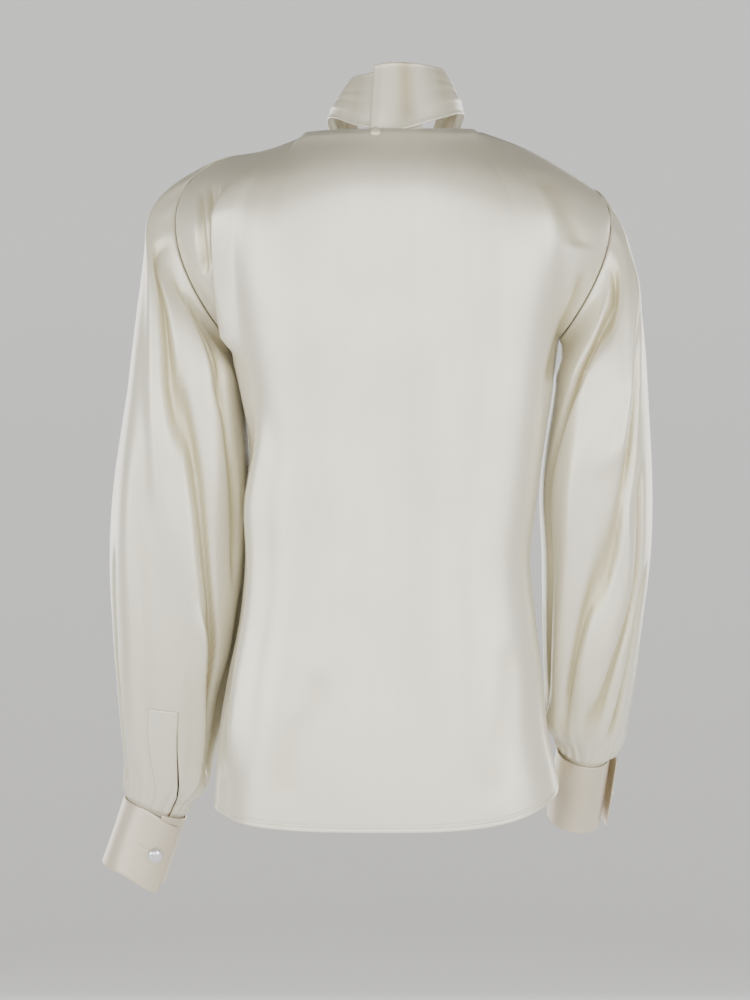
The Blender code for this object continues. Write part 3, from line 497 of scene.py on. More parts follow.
def upper_panel(face, across, climb):
    """The panel above the armpit: cubic Bezier columns from the ring to the top edge."""
    ring = torso_ring(face, across, np.full(np.shape(across), ARMPIT))
    share = np.abs(across)
    result = np.zeros(np.shape(across) + (3,))
    for side, facts in SIDES.items():
        flip = np.array([facts["out"], 1.0, 1.0])
        foot = ring * flip
        top = top_edge(side, face, share)
        beside = top_edge(side, face, share - 0.1) + top_edge(side, face, share + 0.1)
        near = bump(share - NECK_SHARE, NECK_CORNER)[..., None]
        soft = top + (beside / 2 - top) * near
        low = foot + handles(side, face, share, 1)
        high = soft + handles(side, face, share, 4)
        turn_in = 1 + SHOULDER_TURN[face] * (1 - share[..., None] ** 4)
        curve = bezier(foot, low, high, soft, climb[..., None], turn_in)
        curve = (curve + (top - soft) * climb[..., None] ** 14) * flip
        mine = (across > 0) if side == "left" else (across <= 0)
        result = np.where(mine[..., None], curve, result)
    return result


def hem_height(face, across):
    middle = HEM_BACK if face == "back" else HEM_FRONT
    side = np.where(across > 0, SIDES["left"]["hem"], SIDES["right"]["hem"])
    power = np.where(across > 0, SIDES["left"]["hem_power"], SIDES["right"]["hem_power"])
    return middle + (side - middle) * np.abs(across) ** power


def panel_grid(face, sizes):
    """Outer face of the front or back from hem to top: the torso's rings, then its
    Bezier columns, lifted by folds and creases, and dipped at each seam."""
    across = np.linspace(-1, 1, PANEL_COLUMNS + 1)
    across = np.sign(across) * np.abs(across) ** 0.82
    near_hem = np.linspace(0, 0.020, 11)[:-1]
    rows = np.concatenate([near_hem, np.linspace(0.020, 1, LOWER_ROWS)])
    wide, share = np.meshgrid(across, rows)
    height = hem_height(face, wide) * (1 - share) + ARMPIT * share
    lower = torso_ring(face, wide, height)
    outward = lower * np.array([1.0, 1.3, 0.0])
    lower += with_length(outward) * torso_drape(face, wide, height)[..., None]
    wide_up, climb = np.meshgrid(across, np.linspace(0, 1, UPPER_ROWS + 1)[1:])
    grid = np.concatenate([lower, upper_panel(face, wide_up, climb)])
    across = np.concatenate([wide, wide_up])
    if face == "back":
        grid, across = grid[:, ::-1], across[:, ::-1]
    normals = grid_normals(grid)
    start, end = edge_distance(grid)
    side_run = np.minimum(start, end)
    hem_run = edge_distance(grid.transpose(1, 0, 2))
    from_hem, from_top = hem_run[0].T, hem_run[1].T
    inner = ease(side_run / 0.018) * ease(from_top / 0.018)
    creases = BACK_CREASES if face == "back" else FRONT_CREASES
    lift, pull = creased(grid, creases, lambda crease: grid[..., 0], grid[..., 2])
    lift, pull = lift * inner * sizes.fold_depth, pull * inner * sizes.fold_depth
    # painted shade: the share of the shade colour mixed into each point, full where a crease's trough is
    # DEEP_CREASE deep
    hollow = np.clip(-lift / DEEP_CREASE, 0, 1)
    lift -= sizes.seam_dip * bump(side_run, 0.0030)
    seamed = ease((np.abs(grid[..., 0]) - 0.86 * NECK_POINT[0]) / (0.14 * NECK_POINT[0]))
    lift -= sizes.seam_dip * bump(from_top, 0.0030) * seamed
    lift += rolled_edge(from_hem, sizes)
    lift += (rolled_edge(from_top, sizes) + sizes.neck_roll * bump(from_top, 0.011)) * (1 - seamed)
    flat = np.stack([start - start[:, -1:] / 2, from_hem], axis=-1)
    grid = grid + normals * lift[..., None]
    grid[..., 0] += pull
    return grid, flat, hollow


def rolled_edge(distance, sizes):
    """A narrow rolled hem: full height up to its width, then a stitched groove."""
    width = sizes.hem_width
    roll = sizes.hem_lift * (1 - ease((distance - 0.7 * width) / (0.3 * width)))
    return roll - 0.5 * sizes.hem_lift * bump(distance - 1.15 * width, 0.2 * width)


# Sleeves ---------------------------------------------------------------------


def bezier_edge(table, foot, top, climb):
    low, high = foot + table[-1, 1:4], top + table[-1, 4:7]
    return bezier(foot, low, high, top, climb[..., None])


def armhole(side, turn):
    """The armhole seam as out, back, up: two cubics from the underarm, turn 0, to the
    shoulder, turn 180."""
    facts = SIDES[side]
    shoulder = np.array(facts["shoulder"])
    foot = torso_ring("back", np.array([facts["out"]]), np.array([ARMPIT]))[0]
    foot = foot * np.array([facts["out"], 1.0, 1.0])
    back = bezier_edge(facts["back"], foot, shoulder, np.clip(turn / 180, 0, 1))
    front = bezier_edge(facts["front"], foot, shoulder, np.clip((360 - turn) / 180, 0, 1))
    return np.where(turn[..., None] <= 180, back, front)


def arm_ring(side, turn, place):
    """Ring of the sleeve at a place along its ring table: a leaning superellipse that
    is a plain ellipse at the cuff."""
    table = SIDES[side]["rings"]
    row = through(np.arange(len(table)), table, place)
    height, out, back, half_out, half_back, lean_out, lean_fore = np.moveaxis(row, -1, 0)
    angle = np.radians(turn)
    power = 2 / (2 + (ARM_SQUARE - 2) * ease((len(table) - 1 - place) / 2.5))
    flat_out = -half_out * np.sign(np.cos(angle)) * np.abs(np.cos(angle)) ** power
    flat_back = half_back * np.sign(np.sin(angle)) * np.abs(np.sin(angle)) ** power
    lean_out, lean_fore = np.radians(lean_out), np.radians(lean_fore)
    return np.stack([
        out + flat_out * np.cos(lean_out),
        back + flat_back * np.cos(lean_fore),
        height + flat_out * np.sin(lean_out) - flat_back * np.sin(lean_fore),
    ], axis=-1)


def handle(low, high, share):
    out, up = (a + (b - a) * share for a, b in zip(low, high))
    return np.stack([out, 0 * share, up], axis=-1)


def sleeve_base(side, turn, down):
    """Smooth sleeve: a cubic Bezier cap from the armhole, down 0, to the first ring,
    down 1, and then ring by ring to the cuff."""
    turn, down = np.broadcast_arrays(turn % 360, down)
    start = armhole(side, turn)
    high = (1 - np.cos(np.radians(turn))) / 2
    first = arm_ring(side, turn, np.zeros(turn.shape))
    reach = handle(UNDERARM_START, SIDES[side]["cap_start"], high)
    settle = handle(UNDERARM_SETTLE, SIDES[side]["cap_settle"], high)
    sharp = 1 + CAP_TURN * high[..., None] ** 2
    cap = bezier(start, start + reach, first + settle, first, np.clip(down, 0, 1)[..., None], sharp)
    arm = arm_ring(side, turn, np.clip(down - 1, 0, None))
    return np.where(down[..., None] <= 1, cap, arm)


def girth(side, place):
    """Length round the sleeve at places along its ring table."""
    ring = arm_ring(side, np.linspace(0, 360, 73)[None, :], place[:, None])
    return np.linalg.norm(np.diff(ring, axis=1), axis=2).sum(axis=1)


def sleeve_grid(side, sizes):
    """Outer face of a sleeve: the smooth sleeve, lifted by creases, gathers at the
    wrist and ease at the cap. Column 0 is the slit, and the columns of the placket
    come next. Returns points, flat places, the painted shade of the creases and the
    row where the slit starts."""
    last = len(SIDES[side]["rings"])
    slit = SIDES[side]["slit"]
    fine = np.linspace(last, 1, 400)
    line = sleeve_base(side, np.full(400, slit), fine)
    to_cuff = np.cumsum(np.linalg.norm(np.diff(line, axis=0), axis=1))
    slit_top = np.interp(sizes.slit_length, to_cuff, fine[1:])
    rows = np.concatenate([
        np.linspace(0, 1, CAP_ROWS + 1),
        np.linspace(1, slit_top, ARM_ROWS + 1)[1:],
        np.linspace(slit_top, last, SLIT_ROWS + 1)[1:],
    ])
    first = CAP_ROWS + ARM_ROWS
    spread = 360 * sizes.placket_width / girth(side, np.clip(rows - 1, 0, None))
    columns = PLACKET_COLUMNS
    beside = np.linspace(0, 1, columns + 1) * spread[:, None]
    rest = np.linspace(0, 1, SLEEVE_COLUMNS - columns + 1)[1:]
    rest = spread[:, None] + (360 - spread[:, None]) * rest
    opened = ease((rows - slit_top) / (last - slit_top))[:, None]
    slit = slit + SIDES[side]["slit_lean"] * (1 - opened)
    turn = (slit + np.concatenate([beside, rest], axis=1)) % 360
    down = np.broadcast_to(rows[:, None], turn.shape)
    base = sleeve_base(side, turn, down)
    closed = np.concatenate([base[:, -2:-1], base, base[:, 1:2]], axis=1)
    normals = grid_normals(closed)[:, 1:-1]
    below = edge_distance(base.transpose(1, 0, 2))
    from_cap, from_cuff = below[0].T, below[1].T
    round_arm = girth(side, np.clip(rows - 1, 0, None))[:, None] / 360

    def centred(crease):
        return (turn - crease.places[0] + 180) % 360 - 180 + crease.places[0]

    lift, pull = creased(base, SLEEVE_CREASES[side], centred, base[..., 2], round_arm)
    shown = sizes.fold_depth * ease(from_cap / 0.030)
    lift, pull = lift * shown, pull * shown * ease(from_cuff / 0.012)
    # painted shade: the share of the shade colour mixed into each point, full where a crease's trough is
    # DEEP_CREASE deep
    hollow = np.clip(-lift / DEEP_CREASE, 0, 1)
    lift += gathers(turn, from_cuff, sizes)
    lift += bagging(side, turn, from_cuff)
    ease_in = bump(from_cap - 0.006, 0.016) * np.clip(-np.cos(np.radians(turn)), 0, 1)
    lift += CAP_EASE * ease_in * np.sin(np.radians(turn * 17 + 40))
    lift += sizes.seam_ridge * bump(from_cap - 0.0025, 0.0018)
    lift -= WRIST_SEAM * bump(from_cuff, 0.0040)
    around = with_length(np.gradient(closed, axis=1)[:, 1:-1])
    points = base + normals * lift[..., None] + around * pull[..., None]
    gape = SLIT_GAP + SIDES[side]["gape"] * opened[first + 1 :]
    across = with_length(points[first + 1 :, 1] - points[first + 1 :, -2])
    points[first + 1 :, 0] += across * gape / 2
    points[first + 1 :, -1] -= across * gape / 2
    points[: first + 1, -1] = points[: first + 1, 0]
    _, _, _, down_cuff = cuff_frame(side)
    tuck = points[-1:] - normals[-1:] * 0.0006 + down_cuff * TUCK
    points = np.concatenate([points, tuck])
    run, _ = edge_distance(base)
    flat = np.stack([run, -from_cap], axis=-1)
    flat = np.concatenate([flat, flat[-1:] - np.array([0, TUCK])])
    return points, flat, np.concatenate([hollow, hollow[-1:]]), first


def bagging(side, turn, from_cuff):
    """The sleeve's fulness bags over the cuff on the body's side and then turns in:
    a lobe and a trough along the wrist, each exp(-(distance / width)^2)."""
    away = (turn - SIDES[side]["bag"] + 180) % 360 - 180
    here = bump(away, 42.0)
    lobe = bump(from_cuff - 0.046, 0.018) * 0.0060
    return here * (lobe - 0.0050 * bump(from_cuff - 0.014, 0.012))


def gathers(turn, from_cuff, sizes):
    """Fine pleats where the sleeve is gathered into the cuff: two sines round the arm
    of unequal pitch, deepest just above the seam and fading up the arm."""
    angle = np.radians(turn)
    near = bump(from_cuff - 0.012, 0.022) * 0.9 + bump(from_cuff - 0.020, 0.050) * 0.5
    wave = np.sin(23 * angle + 1.4 * np.sin(3 * angle)) + 0.6 * np.sin(37 * angle + 0.7)
    uneven = 0.65 + 0.35 * np.sin(2 * angle + 0.6)
    return sizes.gather_depth * 0.6 * near * wave * uneven * ease(from_cuff / 0.006)


def mirrored(side, points):
    """Points given as out, back, up in the part's frame."""
    return points * np.array([SIDES[side]["out"], 1.0, 1.0])


# Cuffs -----------------------------------------------------------------------


def cuff_frame(side):
    """Centre of the cuff's seam ring, and its three directions, as out, back, up."""
    height, out, back, _, _, lean_out, lean_fore = SIDES[side]["rings"][-1]
    lean_out, lean_fore = math.radians(lean_out), math.radians(lean_fore)
    sideways = np.array([math.cos(lean_out), 0.0, math.sin(lean_out)])
    rearward = np.array([0.0, math.cos(lean_fore), -math.sin(lean_fore)])
    down = with_length(np.cross(rearward, sideways))
    return np.array([out, back, height]), sideways, rearward, down


def cuff_surface(side, wound, drop):
    """Outer face of a cuff: an elliptical tube, wound in degrees from its free edge,
    whose outer end stands off and slips down by a share that eases to nothing."""
    facts = SIDES[side]
    centre, sideways, rearward, down = cuff_frame(side)
    half_out, half_back = facts["rings"][-1][3:5]
    outer = 1 - ease(wound / 75.0)
    radius = outer * facts["stand_off"]
    angle = np.radians(facts["edge"] + wound)
    across = -(half_out + radius) * np.cos(angle)
    behind = (half_back + radius) * np.sin(angle)
    place = centre + across[..., None] * sideways + behind[..., None] * rearward
    slipped = drop + facts["slip"] * outer
    return place + slipped[..., None] * down


def cuff_grid(side, sizes):
    """Outer face of a cuff, wound once round and then under itself, with soft waves
    and a rolled upper and lower edge."""
    overlap = math.degrees(CUFF_LAP / SIDES[side]["cuff_radius"])
    wound, drop = np.meshgrid(
        np.linspace(0, 360 + overlap, CUFF_COLUMNS), np.linspace(0.0003, sizes.cuff_height, CUFF_ROWS)
    )
    grid = cuff_surface(side, wound, drop)
    normals = grid_normals(grid)
    edge = np.minimum(drop, sizes.cuff_height - drop)
    lift = -0.0004 * bump(edge, 0.0012)
    angle = np.radians(wound)
    share = drop / sizes.cuff_height
    lift += 0.0005 * np.sin(angle * 4 + 0.5) * np.sin(math.pi * share) * ease((360 - wound) / 60)
    start, _ = edge_distance(grid)
    lift -= buttonhole(side, grid, start, drop)
    return grid + normals * lift[..., None], np.stack([start, -drop], axis=-1)


def buttonhole(side, grid, along, drop):
    """A stitched groove that runs round the cuff from its button, away from the free
    edge, at the button's height."""
    low, high = (np.array(corner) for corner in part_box(f"cuff_button_{side}"))
    button = mirrored(side, (low + high) / 2)
    nearest = np.argmin(np.linalg.norm(grid - button, axis=-1))
    past = along - along.flat[nearest]
    shown = ease((past - BUTTONHOLE[0]) / 0.001) * ease((BUTTONHOLE[1] - past) / 0.001)
    return BUTTONHOLE_DEPTH * shown * bump(drop - drop.flat[nearest], 0.0008)


# Scarf -----------------------------------------------------------------------


def scarf_stretch(side):
    """Stretch of the scarf from the back of the neck to the knot: a band between two
    tabulated edges, swollen along its middle, with creases that run round the neck."""
    table = SCARF_LEFT if side == "left" else SCARF_RIGHT
    out = SIDES[side]["out"]
    turn, rise = np.meshgrid(np.linspace(table[0, 0], table[-1, 0], 120), np.linspace(0, 1, 44))
    low_radius, low, high_radius, high = np.moveaxis(
        through(table[:, 0], table[:, 1:], turn), -1, 0
    )
    radius = low_radius + (high_radius - low_radius) * rise
    started = ease((turn + table[0, 0]) / 50)
    radius = radius + BAND_SWELL * np.sin(math.pi * rise) * started
    height = low + (high - low) * rise
    front = ease((turn - 60) / 80)
    dents = 0 * radius
    for place, slope, width, depth in SCARF_CREASES[side]:
        path = place + slope * turn / 180
        dents += depth * bump(rise - path, width) * ease((turn - 20) / 40) * (0.5 + 0.5 * front)
    for place, width, depth in SCARF_DENTS[side]:
        dents += depth * bump(turn - place, width) * ease((rise + 0.1) / 0.5)
    radius = radius + dents
    radius = radius + 0.0009 * bump(rise, 0.05) + 0.0005 * bump(rise - 1, 0.04)
    angle = np.radians(turn)
    x = NECK_AXIS[0] + out * radius * np.sin(angle)
    y = NECK_AXIS[1] + radius * np.cos(angle)
    flat = np.stack([turn * 0.0011, rise * 0.07], axis=-1)
    # painted shade: the dents' depth as a share of the shade colour, full at DEEP_DENT
    return np.stack([x, y, height], axis=-1), flat, np.clip(-dents / DEEP_DENT, 0, 1)




def scarf_end(side):
    """One end of the scarf: a strip that hangs from the knot, with rippled width."""
    out = SIDES[side]["out"]
    height = np.linspace(SCARF_END[0, 0], SCARF_END[-1, 0], 150)[:, None]
    centre, half, depth = np.moveaxis(
        through(-SCARF_END[:, 0], SCARF_END[:, 1:], -height[:, 0]), -1, 0
    )
    across = np.linspace(-1, 1, 46)[None, :]
    x = (centre[:, None] + half[:, None] * across) * out + NECK_AXIS[0] * 0.6
    grown = ease((-height - 0.07) / 0.10)
    y = -depth[:, None] + 2.6 * x * x * grown
    y = y + END_FOLD * grown * np.sin(across * 4.2 + 0.6)
    near_knot = bump(height + 0.063, 0.045)
    y = y - 0.0022 * near_knot * np.cos(across * 9)
    y = y - 0.0012 * grown * bump(across - 0.2 - 0.6 * height, 0.10)
    drop = 0.012 * across * out * ease((-height - 0.25) / 0.17)
    grid = np.stack([x, y, height + drop], axis=-1)
    flat = np.stack([across * half[:, None], height + 0 * across], axis=-1)
    return grid, flat


def knot_grid():
    """The knot: a squared ball with pinched folds that run down it."""
    spin, lift = np.meshgrid(np.linspace(0, 2 * math.pi, 97), np.linspace(-math.pi / 2, math.pi / 2, 60))

    def squared(wave):
        return np.sign(wave) * np.abs(np.round(wave, 9)) ** 0.7

    ball = np.stack([
        squared(np.cos(lift)) * squared(np.cos(spin)),
        squared(np.cos(lift)) * squared(np.sin(spin)),
        squared(np.sin(lift)),
    ], axis=-1)
    pleat = 1 - 0.05 * np.abs(np.sin(3 * spin + 0.8 * lift)) ** 3 * np.cos(lift)
    box_low, box_high = (np.array(corner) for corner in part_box("scarf_knot"))
    return ball * pleat[..., None] * (box_high - box_low) / 2 + (box_high + box_low) / 2


# Meshes ----------------------------------------------------------------------


def grid_object(name, grid, flat, material, joined_rows=0, hollow=None):
    """A mesh of quads over a grid of points. Its first joined_rows rows close on
    themselves. The UV map holds the flat places, in metres."""
    rows, columns = grid.shape[:2]
    own = np.arange(rows * columns).reshape(rows, columns)
    index = own.copy()
    index[:joined_rows, -1] = index[:joined_rows, 0]
    corners = [own[:-1, :-1], own[:-1, 1:], own[1:, 1:], own[1:, :-1]]
    quads = np.stack(corners, axis=-1).reshape(-1, 4)
    used, renumbered = np.unique(index.reshape(-1)[quads], return_inverse=True)
    faces = renumbered.reshape(-1, 4)
    points = grid.reshape(-1, 3)[used]
    mesh = bpy.data.meshes.new(name)
    mesh.from_pydata(points.tolist(), [], faces.tolist())
    layer = mesh.uv_layers.new(name="Flat")
    layer.data.foreach_set("uv", flat.reshape(-1, 2)[quads].reshape(-1).astype(np.float32))
    # painted shade: kept per point as an attribute that the satin material reads
    if hollow is not None:
        attribute = mesh.attributes.new("hollow", "FLOAT", "POINT")
        attribute.data.foreach_set("value", hollow.reshape(-1)[used].astype(np.float32))
    mesh.shade_smooth()
    mesh.materials.append(material)
    piece = bpy.data.objects.new(name, mesh)
    bpy.context.scene.collection.objects.link(piece)
    return piece


def thicken(piece, thickness, shaded_inner_material=None):
    """Give a sheet its thickness, inwards from its outer face, and its inner face the
    inner material, the satin in painted shade, where one is given."""
    if shaded_inner_material:
        piece.data.materials.append(shaded_inner_material)
    wall = piece.modifiers.new("Cloth", "SOLIDIFY")
    wall.thickness = thickness
    wall.offset = -1.0
    wall.use_rim = True
    wall.material_offset = 1 if shaded_inner_material else 0


def close_poles(piece):
    """Join the points that meet at each end of a ball made of rings."""
    mesh = bmesh.new()
    mesh.from_mesh(piece.data)
    bmesh.ops.remove_doubles(mesh, verts=mesh.verts, dist=1e-6)
    mesh.to_mesh(piece.data)
    mesh.free()


def settle(piece, node, slot):
    """Hand a finished piece to the frame: it rides on the body and stands for its node."""
    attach(piece, "root")
    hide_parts(node)


# Materials -------------------------------------------------------------------


def new_group(name, inputs, outputs):
    """An empty shader node group with its group input and output nodes."""
    group = bpy.data.node_groups.new(name, "ShaderNodeTree")
    for label, kind, value in inputs:
        socket = group.interface.new_socket(label, in_out="INPUT", socket_type=kind)
        if value is not None:
            socket.default_value = value
    for label, kind in outputs:
        group.interface.new_socket(label, in_out="OUTPUT", socket_type=kind)
    return group, group.nodes.new("NodeGroupInput"), group.nodes.new("NodeGroupOutput")


def weave_group():
    """Satin weave: long floats of warp as stretched noise, faint tonal streaks along
    the cloth and slow clouds of tone, all read from flat places in metres."""
    group, start, end = new_group(
        "Satin weave",
        [("Place", "NodeSocketVector", None), ("Floats", "NodeSocketFloat", 1.0)],
        [("Height", "NodeSocketFloat"), ("Tone", "NodeSocketFloat")],
    )
    link, node = group.links.new, group.nodes.new
    stretch = node("ShaderNodeMapping")
    stretch.inputs["Scale"].default_value = (1400.0, 160.0, 1.0)
    floats = node("ShaderNodeTexNoise")
    floats.inputs["Scale"].default_value = 1.0
    floats.inputs["Detail"].default_value = 2.0
    streak = node("ShaderNodeMapping")
    streak.inputs["Scale"].default_value = (90.0, 6.0, 1.0)
    streaks = node("ShaderNodeTexNoise")
    streaks.inputs["Scale"].default_value = 1.0
    streaks.inputs["Detail"].default_value = 3.0
    clouds = node("ShaderNodeTexNoise")
    clouds.inputs["Scale"].default_value = 9.0
    clouds.inputs["Detail"].default_value = 3.0
    strength = node("ShaderNodeMath")
    strength.operation = "MULTIPLY"
    blend = node("ShaderNodeMath")
    blend.operation = "MULTIPLY_ADD"
    blend.inputs[1].default_value = 0.45
    link(start.outputs["Place"], stretch.inputs["Vector"])
    link(start.outputs["Place"], streak.inputs["Vector"])
    link(start.outputs["Place"], clouds.inputs["Vector"])
    link(stretch.outputs["Vector"], floats.inputs["Vector"])
    link(streak.outputs["Vector"], streaks.inputs["Vector"])
    link(floats.outputs["Fac"], strength.inputs[0])
    link(start.outputs["Floats"], strength.inputs[1])
    link(streaks.outputs["Fac"], blend.inputs[0])
    link(clouds.outputs["Fac"], blend.inputs[2])
    link(strength.outputs[0], end.inputs["Height"])
    link(blend.outputs[0], end.inputs["Tone"])
    return group


def principled(name):
    material = bpy.data.materials.new(name)
    material.use_nodes = True
    return material, material.node_tree, material.node_tree.nodes["Principled BSDF"]


def satin_material(name, colour, tone_and_painted_shade, weave, with_painted_shade=True):
    """Ivory silk satin: a soft, partly metallic sheen over an ivory ground, with
    painted shade in the creases and dents, random tone from the weave, and the weave
    as a fine bump."""
    material, tree, shader = principled(name)
    link, node = tree.links.new, tree.nodes.new
    shader.inputs["Metallic"].default_value = 0.30
    shader.inputs["Specular IOR Level"].default_value = 0.75
    shader.inputs["Sheen Weight"].default_value = 0.12
    shader.inputs["Sheen Roughness"].default_value = 0.4
    place = node("ShaderNodeUVMap")
    place.uv_map = "Flat"
    cloth = node("ShaderNodeGroup")
    cloth.node_tree = weave
    link(place.outputs["UV"], cloth.inputs["Place"])
    tone = node("ShaderNodeMapRange")
    tone.inputs["From Min"].default_value = 0.45
    tone.inputs["From Max"].default_value = 1.0
    tone.inputs["To Min"].default_value = 0.0
    tone.inputs["To Max"].default_value = 0.25
    link(cloth.outputs["Tone"], tone.inputs["Value"])
    factor = tone.outputs["Result"]
    # painted shade: the creases' and dents' share pulls the colour further towards the shade colour
    if with_painted_shade:
        painted_shade_node = node("ShaderNodeAttribute")
        painted_shade_node.attribute_name = "hollow"
        add = node("ShaderNodeMath")
        add.operation = "ADD"
        add.use_clamp = True
        scaled = node("ShaderNodeMath")
        scaled.operation = "MULTIPLY"
        scaled.inputs[1].default_value = 0.75
        link(painted_shade_node.outputs["Fac"], scaled.inputs[0])
        link(scaled.outputs[0], add.inputs[0])
        link(factor, add.inputs[1])
        factor = add.outputs[0]
    # colour B is the darker colour for random tone and for painted shade in creases and dents
    mix = node("ShaderNodeMix")
    mix.data_type = "RGBA"
    mix.inputs["A"].default_value = (*colour, 1.0)
    mix.inputs["B"].default_value = (*tone_and_painted_shade, 1.0)
    link(factor, mix.inputs["Factor"])
    link(mix.outputs["Result"], shader.inputs["Base Color"])
    rough = node("ShaderNodeMapRange")
    rough.inputs["To Min"].default_value = 0.30
    rough.inputs["To Max"].default_value = 0.38
    link(cloth.outputs["Tone"], rough.inputs["Value"])
    link(rough.outputs["Result"], shader.inputs["Roughness"])
    relief = node("ShaderNodeBump")
    relief.inputs["Strength"].default_value = 0.12
    relief.inputs["Distance"].default_value = 0.0002
    link(cloth.outputs["Height"], relief.inputs["Height"])
    link(relief.outputs["Normal"], shader.inputs["Normal"])
    return material


def crystal_material(colour):
    """Cut crystal over foil: bright, smooth and faintly cloudy."""
    material, tree, shader = principled("Crystal")
    shader.inputs["Metallic"].default_value = 0.55
    shader.inputs["Coat Weight"].default_value = 1.0
    shader.inputs["Coat Roughness"].default_value = 0.03
    noise = tree.nodes.new("ShaderNodeTexNoise")
    noise.inputs["Scale"].default_value = 220.0
    place = tree.nodes.new("ShaderNodeTexCoord")
    tree.links.new(place.outputs["Object"], noise.inputs["Vector"])
    mix = tree.nodes.new("ShaderNodeMix")
    mix.data_type = "RGBA"
    mix.inputs["A"].default_value = (*colour, 1.0)
    mix.inputs["B"].default_value = (*(0.72 * c for c in colour), 1.0)
    tree.links.new(noise.outputs["Fac"], mix.inputs["Factor"])
    tree.links.new(mix.outputs["Result"], shader.inputs["Base Color"])
    rough = tree.nodes.new("ShaderNodeMapRange")
    rough.inputs["To Min"].default_value = 0.06
    rough.inputs["To Max"].default_value = 0.16
    tree.links.new(noise.outputs["Fac"], rough.inputs["Value"])
    tree.links.new(rough.outputs["Result"], shader.inputs["Roughness"])
    return material


def floor_material(colour):
    """Matt studio paper with the faintest cloudiness."""
    material, tree, shader = principled("Studio paper")
    shader.inputs["Roughness"].default_value = 0.95
    noise = tree.nodes.new("ShaderNodeTexNoise")
    noise.inputs["Scale"].default_value = 0.7
    place = tree.nodes.new("ShaderNodeTexCoord")
    tree.links.new(place.outputs["Object"], noise.inputs["Vector"])
    mix = tree.nodes.new("ShaderNodeMix")
    mix.data_type = "RGBA"
    mix.inputs["A"].default_value = (*colour, 1.0)
    mix.inputs["B"].default_value = (*(0.985 * c for c in colour), 1.0)
    tree.links.new(noise.outputs["Fac"], mix.inputs["Factor"])
    tree.links.new(mix.outputs["Result"], shader.inputs["Base Color"])
    tree.links.new(mix.outputs["Result"], shader.inputs["Emission Color"])
    shader.inputs["Emission Strength"].default_value = PAPER_GLOW
    return material


def finish_named(name, build):
    """The material of that name, built the first time it is asked for."""
    return bpy.data.materials.get(name) or build()


def satin_finish(name, colour, with_painted_shade):
    """The satin of that name in one of the blouse's colours."""
    colours = bpy.context.scene.blouse_colours
    weave = bpy.data.node_groups.get("Satin weave") or weave_group()
    face, tone_and_painted_shade = tuple(getattr(colours, colour)), tuple(colours.tone_and_painted_shade)
    return finish_named(name, lambda: satin_material(name, face, tone_and_painted_shade, weave, with_painted_shade))


def satin():
    return satin_finish("Ivory satin", "satin", True)


def smooth_satin():
    return satin_finish("Ivory satin, pressed", "cuff", False)


# painted shade: the inner faces' material, tan for the shade that falls inside
def shaded_inside_satin():
    return satin_finish("Ivory satin, inside", "inside", False)


# Settings --------------------------------------------------------------------


class BlouseSizes(bpy.types.PropertyGroup):
    cloth: bpy.props.FloatProperty(
        name="Cloth", description="Thickness of the satin", default=0.0007, unit="LENGTH"
    )
    cuff_cloth: bpy.props.FloatProperty(
        name="Cuff cloth", description="Thickness of a cuff", default=0.0014, unit="LENGTH"
    )
    scarf_cloth: bpy.props.FloatProperty(
        name="Scarf cloth", description="Thickness of the folded scarf", default=0.0014, unit="LENGTH"
    )
    hem_width: bpy.props.FloatProperty(
        name="Hem width", description="Width of the rolled hem", default=0.0050, unit="LENGTH"
    )
    hem_lift: bpy.props.FloatProperty(
        name="Hem lift", description="How far the rolled hem stands out", default=0.0005, unit="LENGTH"
    )
    seam_dip: bpy.props.FloatProperty(
        name="Seam dip", description="How far the cloth dips at a seam", default=0.0004, unit="LENGTH"
    )
    neck_roll: bpy.props.FloatProperty(
        name="Neck roll", description="How far the neckline's edge stands up", default=0.0036, unit="LENGTH"
    )
    seam_ridge: bpy.props.FloatProperty(
        name="Seam ridge", description="Height of the armhole seam", default=0.0008, unit="LENGTH"
    )
    fold_depth: bpy.props.FloatProperty(
        name="Fold depth", description="Depth of the creases, 1 as worn", default=1.0, subtype="FACTOR"
    )
    gather_depth: bpy.props.FloatProperty(
        name="Gather depth", description="Depth of the pleats above a cuff", default=0.0022, unit="LENGTH"
    )
    slit_length: bpy.props.FloatProperty(
        name="Slit length", description="Length of the sleeve slit", default=0.100, unit="LENGTH"
    )
    placket_width: bpy.props.FloatProperty(
        name="Placket width", description="Width of the placket strip", default=0.022, unit="LENGTH"
    )
    placket_cloth: bpy.props.FloatProperty(
        name="Placket cloth", description="Thickness of the strip", default=0.0009, unit="LENGTH"
    )
    cuff_height: bpy.props.FloatProperty(
        name="Cuff height", description="Height of a cuff", default=0.070, unit="LENGTH"
    )


class BlouseColours(bpy.types.PropertyGroup):
    satin: bpy.props.FloatVectorProperty(
        name="Satin", description="Face of the satin", subtype="COLOR", default=(0.84, 0.80, 0.66)
    )
    # the darker colour that the weave's random tone and the painted shade of creases and dents pull the
    # satin towards
    tone_and_painted_shade: bpy.props.FloatVectorProperty(
        name="Shade", description="Satin in its hollows", subtype="COLOR", default=(0.56, 0.50, 0.30)
    )
    # painted shade: tan colour of the inner faces, standing in for the shade that falls inside the blouse
    # and its cuffs
    inside: bpy.props.FloatVectorProperty(
        name="Inside", description="Dull back of the satin", subtype="COLOR", default=(0.76, 0.65, 0.47)
    )
    # a darker, warmer copy of the satin's colour, used for the cuffs, scarf ends, knot and nape button
    cuff: bpy.props.FloatVectorProperty(
        name="Cuff", description="Doubled satin", subtype="COLOR", default=(0.71, 0.62, 0.49)
    )
    crystal: bpy.props.FloatVectorProperty(
        name="Crystal", description="Cuff buttons", subtype="COLOR", default=(0.90, 0.91, 0.92)
    )
    paper: bpy.props.FloatVectorProperty(
        name="Paper", description="Studio floor", subtype="COLOR", default=(0.60, 0.60, 0.60)
    )


